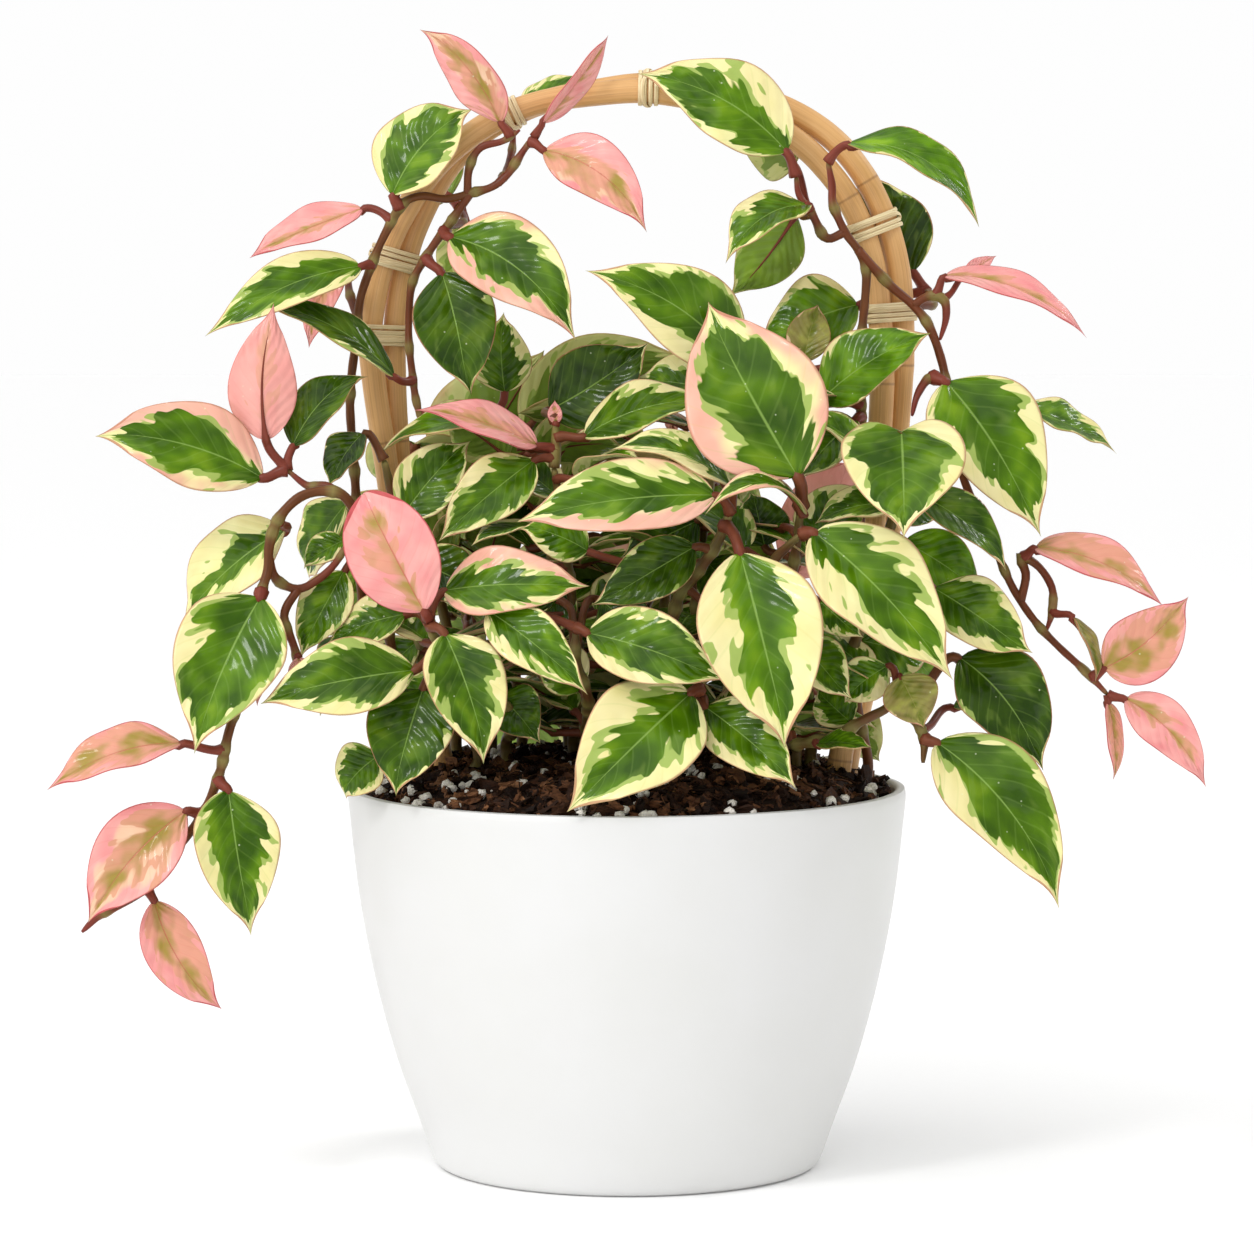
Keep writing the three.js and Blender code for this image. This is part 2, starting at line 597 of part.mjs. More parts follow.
// Sprays of the front grow again at the back with their first leaves, each from a foot of its own,
// turned about the pot's axis and drawn out or in.
const BACK_SPRAYS = [
  { name: "back_1", like: "spray_top_left", foot: [22, 26], turn: 196, reach: 1.05, height: 0.96, first: 5 },
  { name: "back_2", like: "spray_top_mid", foot: [-20, 30], turn: 172, reach: 1.1, height: 0.84, first: 4 },
  { name: "back_3", like: "spray_centre_high", foot: [-46, 22], turn: 184, reach: 1, height: 0.9, first: 4 },
  { name: "back_4", like: "spray_centre", foot: [0, 38], turn: 168, reach: 1, height: 0.97, first: 6 },
  { name: "back_5", like: "spray_front_right", foot: [-36, 36], turn: 176, reach: 1, height: 1, first: 3 },
  { name: "back_6", like: "spray_left", foot: [42, 30], turn: 186, reach: 1, height: 1.03, first: 6 },
  { name: "back_7", like: "spray_front_left", foot: [12, 44], turn: 190, reach: 1, height: 1, first: 3 },
  { name: "back_8", like: "spray_low_right", foot: [30, 52], turn: 138, reach: 0.85, height: 1, first: 5 },
  { name: "back_9", like: "spray_right", foot: [-58, 24], turn: 176, reach: 0.86, height: 0.94, first: 5 },
  { name: "back_10", like: "spray_front", foot: [-16, 50], turn: 170, reach: 1, height: 1, first: 1 },
];

// How far a stem's points are turned and drawn out from where the table puts them.
function growth({ turn = 0, reach = 1, height = 1 }) {
  const axis = new THREE.Vector3(0, 0, 1);
  const angle = THREE.MathUtils.degToRad(turn);
  return (point) => {
    const at = point.clone().applyAxisAngle(axis, angle);
    return new THREE.Vector3(at.x * reach, at.y * reach, lifted(at.z, height));
  };
}

function lifted(z, height) {
  return SOIL_HEIGHT + (z - SOIL_HEIGHT) * height;
}

// The straight runs that a stem or shoot is made of.
function runsOf(curve) {
  const steps = Math.max(3, Math.round(curve.getLength() / STEM_STEP));
  return { curve, steps, points: curve.getSpacedPoints(steps) };
}

// The nearest place to a point on the middle of some runs.
function nearestOn(runs, point) {
  const places = runs.flatMap(({ points }) =>
    points.slice(1).map((end, i) =>
      new THREE.Line3(points[i], end).closestPointToPoint(point, true, new THREE.Vector3()),
    ),
  );
  return places.sort((a, b) => a.distanceTo(point) - b.distanceTo(point))[0];
}

// A stem's own runs and then those of its shoots, each of which starts on a run before it.
function stemRuns(stem) {
  const [x, y] = stem.foot;
  const foot = FOOT_RISES.map((rise) => new THREE.Vector3(x, y, soilTop(x, y) + rise));
  const grow = growth(stem);
  const runs = [runsOf(smooth([...foot, ...stem.route.map((place) => grow(seen(place)))]))];
  for (const shoot of stem.shoots) {
    const points = shoot.map((place) => grow(seen(place)));
    points[0] = nearestOn(runs, points[0]);
    runs.push(runsOf(smooth(points)));
  }
  return runs;
}

// The blade's outline as [share of its length, share of its width], up to the pointed tip
const BLADE_OUTLINE = [[0.06, 0.24], [0.28, 0.97], [0.55, 0.92], [0.82, 0.38], [1, 0]];
// A plainer outline for the back's and the small leaves
const PLAIN_OUTLINE = [[0.06, 0.24], [0.35, 1], [0.72, 0.7], [1, 0]];
const SMALL_WIDTH = 20;
// The blade's section, going round it, as [across, level]: it thins from the midrib to its edges
const BLADE_SECTION = [[-1, 0], [0, 1], [1, 0], [0, -1]];
const BLADE_FOLD = THREE.MathUtils.degToRad(13);

// A leaf's directions: along it, out of its upper side, and across it.
function leafAxes({ base, tip, facing }) {
  const along = tip.clone().sub(base);
  const length = along.length();
  along.normalize();
  const normal = facing.clone().addScaledVector(along, -facing.dot(along)).normalize();
  return { along, normal, side: new THREE.Vector3().crossVectors(along, normal), length };
}

// A place on an arched blade's midrib and the direction in which the midrib runs there.
function midrib(leaf, share) {
  const { along, normal, side, length } = leafAxes(leaf);
  const rise = 4 * length * share * (1 - share);
  const slope = 4 * (1 - 2 * share);
  return {
    at: leaf.base.clone()
      .addScaledVector(along, length * share)
      .addScaledVector(normal, leaf.arch * rise)
      .addScaledVector(side, leaf.bow * rise),
    run: along.clone()
      .addScaledVector(normal, leaf.arch * slope)
      .addScaledVector(side, leaf.bow * slope)
      .normalize(),
  };
}

// A leaf in one form: a point inside the stem, the stalk, and the blade up to its tip.
function leafSolid(leaf, stem, room) {
  const root = nearestOn(stem.runs, leaf.base);
  const { side } = leafAxes(leaf);
  const outline = stem.like || leaf.width < SMALL_WIDTH ? PLAIN_OUTLINE : BLADE_OUTLINE;
  const { at: neck, run: neckRun } = midrib(leaf, outline[0][0]);
  const stalkRun = neck.clone().sub(root).normalize();
  const rings = [
    { at: root.clone().addScaledVector(stalkRun, -stem.radius), run: stalkRun, half: 0, thick: 0 },
    { at: root.clone().addScaledVector(stalkRun, stem.radius / 2), run: stalkRun },
    { at: neck, run: neckRun.add(stalkRun).normalize() },
  ];
  for (const [share, width] of outline.slice(1)) {
    const half = width * (leaf.width / 2 + room);
    const thick = width === 0 ? 0 : BLADE_THICKNESS / 2 + room;
    rings.push({ ...midrib(leaf, share), half, fold: BLADE_FOLD, thick });
  }
  const stalk = { half: STALK_RADIUS + room, fold: 0, thick: STALK_RADIUS + room };
  const columns = BLADE_SECTION.length;
  const sphere = new THREE.SphereGeometry(1, columns, rings.length - 1);
  return formed(sphere, columns, (row, column) => {
    const { at, run, half, fold, thick } = { ...stalk, ...rings[row] };
    const [across, level] = BLADE_SECTION[column];
    const aside = side.clone().addScaledVector(run, -side.dot(run)).normalize();
    const out = new THREE.Vector3().crossVectors(aside, run);
    return at.clone()
      .addScaledVector(aside, across * half * Math.cos(fold))
      .addScaledVector(out, Math.abs(across) * half * Math.sin(fold) + level * thick);
  });
}

// Depths by which a leaf's base and tip may step back or forward to keep clear of other stems
const STEPS = [
  [0, 0], [0, -4], [0, 4], [-3, -3], [3, 3], [0, -8], [0, 8], [-3, -8], [3, 8], [-6, -6], [6, 6],
  [-6, -12], [6, 12], [0, -13], [0, 13], [-10, -10], [10, 10], [-10, -18], [10, 18], [-14, -8],
  [14, 8], [-15, -15], [15, 15],
];
const OWN_OVERLAP = 4;

function leafOf(stem, row, [baseStep, tipStep]) {
  const [[bx, by, baseDepth], [tx, ty, tipDepth], width, facing, arch, bow = 0] = row;
  const grow = growth(stem);
  const turn = THREE.MathUtils.degToRad(stem.turn ?? 0);
  const facingTurned = new THREE.Vector3(...facing).applyAxisAngle(new THREE.Vector3(0, 0, 1), turn);
  return {
    base: grow(seen([bx, by, baseDepth + baseStep])),
    tip: grow(seen([tx, ty, tipDepth + tipStep])),
    width,
    facing: facingTurned,
    arch,
    bow,
  };
}

function apart(a, b) {
  const [p, q] = [a.boundingBox(), b.boundingBox()];
  return [0, 1, 2].some((i) => p.min[i] > q.max[i] || q.min[i] > p.max[i]);
}

function shared(a, b) {
  return apart(a, b) ? 0 : a.intersect(b).volume();
}

// Puts a leaf at the first of its steps where it is clear of every other stem and its leaves.
function placeLeaf(stem, row, grown) {
  let spare = null;
  const others = grown.filter((piece) => piece.name !== stem.name);
  const own = grown.filter((piece) => piece.name === stem.name && piece.isLeaf);
  for (const step of STEPS) {
    const leaf = leafOf(stem, row, step);
    const roomy = leafSolid(leaf, stem, GAP);
    if (others.some((piece) => shared(roomy, piece.solid) > 0)) continue;
    const made = { name: stem.name, isLeaf: true, solid: leafSolid(leaf, stem, 0) };
    if (own.every((piece) => shared(made.solid, piece.solid) < OWN_OVERLAP)) return made;
    spare ??= made;
  }
  return spare;
}

// All the stems, then their leaves, those nearest the viewer first.
function growPlant(obstacles) {
  const back = BACK_SPRAYS.map((spray) => {
    const front = STEMS.find((stem) => stem.name === spray.like);
    return { ...front, ...spray, leaves: front.leaves.slice(0, spray.first) };
  });
  const stems = [...STEMS, ...back].map((stem) => ({ ...stem, runs: stemRuns(stem) }));
  const grown = [...obstacles];
  for (const stem of stems) {
    stem.runs.forEach(({ curve, steps }, i) => {
      const radius = i === 0 ? stem.radius : stem.radius * SHOOT_SHARE;
      const sides = i === 0 ? STEM_SIDES : SHOOT_SIDES;
      grown.push({ name: stem.name, solid: bar(curve, radius, sides, steps) });
    });
  }
  const jobs = stems.flatMap((stem) => stem.leaves.map((row) => ({ stem, row })));
  const depth = ({ stem, row }) => (stem.turn ? 100 : 0) + row[0][2] + row[1][2];
  jobs.sort((a, b) => depth(a) - depth(b));
  for (const { stem, row } of jobs) {
    const leaf = placeLeaf(stem, row, grown);
    if (leaf) grown.push(leaf);
  }
  return stems.map((stem) => ({
    ...stem,
    solid: filled(joined(grown.filter(({ name }) => name === stem.name).map(({ solid }) => solid))),
  }));
}

function footHole(stem) {
  const [foot] = stem.runs[0].points;
  const hole = new THREE.CylinderGeometry(1, 1, 2 * SOIL_DEPTH, FOOT_SIDES).rotateX(Math.PI / 2);
  const wide = (stem.radius + FOOT_ROOM) / Math.cos(Math.PI / FOOT_SIDES);
  hole.scale(wide, wide, 1).translate(foot.x, foot.y, foot.z + SOIL_DEPTH - GAP);
  return solidOf(hole);
}

// Assembly

const group = new THREE.Group();

function add(name, solid, { color, roughness }) {
  const material = new THREE.MeshStandardMaterial({ color, roughness, metalness: 0 });
  const mesh = new THREE.Mesh(geometryOf(solid), material);
  mesh.name = name;
  group.add(mesh);
}

const GLAZE = { color: 0xf4f4f2, roughness: 0.45 };
const BARK = { color: 0x33231a, roughness: 0.95 };
const CANE = { color: 0xc89a66, roughness: 0.55 };
const PEEL = { color: 0xe9d6ae, roughness: 0.7 };
const LEAF = { color: 0x3f7a2c, roughness: 0.4 };

const pot = potSolid();
const canes = [0, 1].map((which) => caneSolid(which, 0));
const ties = TIES.map((tie) => ({ ...tie, solid: tieSolid(tie) }));
const plant = growPlant([
  { name: "pot", solid: pot },
  ...canes.map((solid, i) => ({ name: `cane_${i + 1}`, solid })),
  ...ties,
]);
const caneHoles = [0, 1].map((which) => caneSolid(which, GAP));
const soil = soilSolid([...plant.map(footHole), ...caneHoles]);

add("pot", pot, GLAZE);
add("soil", soil, BARK);
canes.forEach((solid, i) => add(`cane_${i + 1}`, solid, CANE));
for (const tie of ties) add(tie.name, tie.solid, PEEL);
for (const stem of plant) add(stem.name, stem.solid, LEAF);

export default group;
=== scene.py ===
"""A potted tricolor wax plant on a hoop of bent cane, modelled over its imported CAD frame.

Lengths in the tables are millimetres, as in the CAD source, and every mesh is written in metres.
"""

import math
import random

import bmesh
import bpy
import numpy as np
from mathutils import Matrix, Vector, kdtree, noise


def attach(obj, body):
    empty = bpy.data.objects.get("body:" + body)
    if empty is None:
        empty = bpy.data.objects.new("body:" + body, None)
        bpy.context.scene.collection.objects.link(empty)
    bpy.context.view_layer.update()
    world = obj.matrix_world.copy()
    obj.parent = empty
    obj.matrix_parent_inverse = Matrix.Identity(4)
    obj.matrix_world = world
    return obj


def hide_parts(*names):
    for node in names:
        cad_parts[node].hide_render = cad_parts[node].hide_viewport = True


bl_info = {
    "name": "Potted tricolor wax plant",
    "version": (1, 0, 0),
    "blender": (4, 5, 0),
    "location": "3D View > Sidebar > Wax plant",
    "description": "Builds a potted tricolor wax plant on a cane hoop",
    "category": "Object",
}

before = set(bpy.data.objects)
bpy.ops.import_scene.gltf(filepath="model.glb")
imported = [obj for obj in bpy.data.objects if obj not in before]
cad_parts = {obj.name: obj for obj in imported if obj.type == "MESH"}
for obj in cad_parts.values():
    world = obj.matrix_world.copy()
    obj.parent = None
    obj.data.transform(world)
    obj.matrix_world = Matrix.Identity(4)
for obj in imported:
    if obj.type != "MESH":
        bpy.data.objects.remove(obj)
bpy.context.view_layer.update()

MM = 0.001
SEED = 11

# Pot
POT_HEIGHT = 127
POT_WALL = 3.6
POT_FLOOR = 5
POT_FLOOR_RADIUS = 58
POT_FOOT_RADIUS = 40
# Outer profile as [radius, height], from the foot to just under the lip
POT_OUTLINE = [(62, 0), (65, 2.5), (69.5, 15), (77, 36), (84, 62), (89.3, 90), (92.4, 117)]
LIP_RADIUS = 93
LIP_WIDTH = 3.8
# How far in from the lip's outer edge its crown lies, and how far that edge is below the crown
LIP_CROWN = (1.6, 1.4)
# Steps of the pot's section in mm, the gap in metres over which its spun ends are merged, and the
# angle from which an edge stays sharp
POT_STEP = 1.2
POT_GAP = 0.00001
CREASE_ANGLE = math.radians(40)

# Soil: it is level with the lip at its edge and heaped up inside it
SOIL_HEIGHT = 124
SOIL_MOUND = 11
SOIL_MOUND_POWER = 6
SOIL_CLUMP = 1.6
SOIL_WAVES = (0.41, 0.37)
SOIL_DEPTH = 14
SOIL_GAP = 1
# How far the bed lies under the chips that cover it
SOIL_COVER = 1.2
# Radius of the soil's top, which the pot's inner wall leaves
SOIL_REACH = 88
# The bed's fine roughness: its height and its repeats per mm, and the width of the rim over which
# all unevenness fades out
SOIL_ROUGHNESS = 0.9
SOIL_GRAIN = 0.22
SOIL_EDGE = 6
BED_CELLS = 130
# Bark chips: the scatter of their lengths, the longest one, widths as shares of the length,
# thicknesses, and how far they tilt in radians
CHIP_SCATTER = 0.4
CHIP_LONGEST = 9
CHIP_WIDTHS = (0.35, 0.7)
CHIP_THICKNESSES = (0.8, 2.2)
CHIP_TILT = 0.6
# Perlite grains: sizes, widths and heights as shares of the size, and tilt in radians
GRAIN_SIZES = (1.6, 4.4)
GRAIN_WIDTHS = (0.75, 1)
GRAIN_HEIGHTS = (0.7, 0.95)
GRAIN_TILT = 2
# Grains lie in bunches of so many, so far from the bunch's middle
BUNCH = 5
BUNCH_SPREAD = 5
# How far the points of a chip's and a grain's pattern are moved at random, as a share of its size
CHIP_ROUGHNESS = 0.24
GRAIN_ROUGHNESS = 0.09
# How high the middle of a chip or grain lies, as a share of its height
STREWN_RISE = 0.42
# Husk fibres: lengths, radii, the turn at each step in radians per mm of length, the height over
# the bed, and the number of steps
FIBRE_LENGTHS = (5, 13)
FIBRE_RADII = (0.16, 0.38)
FIBRE_BENDS = (-0.12, 0.12)
FIBRE_RISE = 1.6
FIBRE_STEPS = 5

# Hoop of two canes that twist round each other, held by ties
CANE_RADIUS = 4.1
CANE_OFFSET = 4.65
CANE_DEPTH_IN_SOIL = 70
HOOP_FEET = [(-62, 0), (72, 0)]
# The hoop's middle line in the front view, from the left foot to the right one
HOOP_ROUTE = [
    (424, 680), (404, 560), (391, 450), (384, 380), (383, 325), (394, 262), (414, 212), (446, 162),
    (490, 125), (540, 103), (600, 92), (650, 88), (710, 95), (768, 112), (815, 140), (850, 178),
    (873, 222), (886, 268), (891, 318), (892, 370), (888, 440), (878, 560), (860, 680),
]
# How the pair is turned at even steps along the hoop, in degrees
HOOP_TWIST = [90, 90, 150, 100, 75, 20, 35, 60, 90]
# Ties by name, each with the place in the view that it is wound at
TIES = {
    "tie_left_low": (383, 335),
    "tie_left_high": (394, 260),
    "tie_top_left": (512, 115),
    "tie_top": (648, 88),
    "tie_right_high": (875, 226),
    "tie_right_low": (891, 312),
}
# Width of a whole tie, and the section of the peel that it is wound from
TIE_WIDTH = 6.6
PEEL_WIDTH = 1.45
PEEL_THICKNESS = 0.55
# How far a turn of a tie slips along the hoop, slants and stands off the canes at random
TURN_SLIP = 0.15
TURN_SLANT = 0.35
TURN_LIFT = 0.35
# The turn that holds the others: its slant as a share of the tie's width, and its height over them
HOLDING_SLANT = 0.3
HOLDING_LIFT = 0.6
# How much thinner a cane is between its joints, and how far its radius wanders there
CANE_THINNING = 0.1
CANE_WANDER = 0.07
# Length of cane between its joints, which swell by so much over so long
JOINT_PITCH = 63
JOINT_SWELL = 0.12
JOINT_LENGTH = 2.2
# Heights above the soil of the first points of each side of the hoop
HOOP_FOOT_RISES = (-CANE_DEPTH_IN_SOIL, -20, 8)
# Places along the hoop at which its canes are drawn, searched, and kept free of small leaves
CANE_RINGS = 460
HOOP_PLACES = 800
CANE_PLACES = 200

# The places of stems and leaves are read in a front view of the plant, 1254 pixels square. A pixel
# is 1/3 mm in the hoop's plane, and the eye looks down at VIEW_HEIGHT on the pot's axis.
VIEW_PIXELS = 1254
PIXEL = 1 / 3
VIEW_CENTRE = 627
VIEW_DISTANCE = 1590
VIEW_PITCH = math.radians(4.3)
VIEW_HEIGHT = 180

# Steps between two of a curve's points, before its places are spaced evenly
CURVE_STEPS = 12

# The ways a blade's upper side can face
FRONT = [0, -1, 0.35]
UP = [0, -0.5, 1]
LEFT = [-1, -1, 0.4]
RIGHT = [1, -1, 0.4]
AWAY = [0, 1, 0.3]

# Each leaf's look is one letter of its stem's looks: young is how far the whole blade is pink,
# blush how far its pale margin is pink, green how far the green reaches towards the edge and
# tone how light the green is. heart is how far the base's lobes reach back, as a share of the
# length, and a blunt leaf has no drawn-out tip.
LOOKS = {
    "G": {"young": 0, "blush": 0.1, "green": 0.7, "tone": 0.5},
    "L": {"young": 0, "blush": 0.1, "green": 1, "tone": 0.9},
    "C": {"young": 0, "blush": 0.1, "green": 0.46, "tone": 0.55},
    "D": {"young": 0, "blush": 0, "green": 1.1, "tone": 0.15},
    "B": {"young": 0, "blush": 0.78, "green": 0.58, "tone": 0.5},
    "H": {"young": 0.6, "blush": 1, "green": 0.5, "tone": 0.6},
    "Y": {"young": 1, "blush": 1, "green": 0.12, "tone": 0.5},
    "T": {"young": 1, "blush": 1, "green": 0.75, "tone": 0.5},
    "O": {"young": 0.2, "blush": 0.3, "green": 1.2, "tone": 0.85},
    "V": {"young": 0, "blush": 0.1, "green": 0.68, "tone": 0.5, "heart": 0.13},
    "E": {"young": 1, "blush": 1, "green": 0.2, "tone": 0.5, "blunt": True},
}

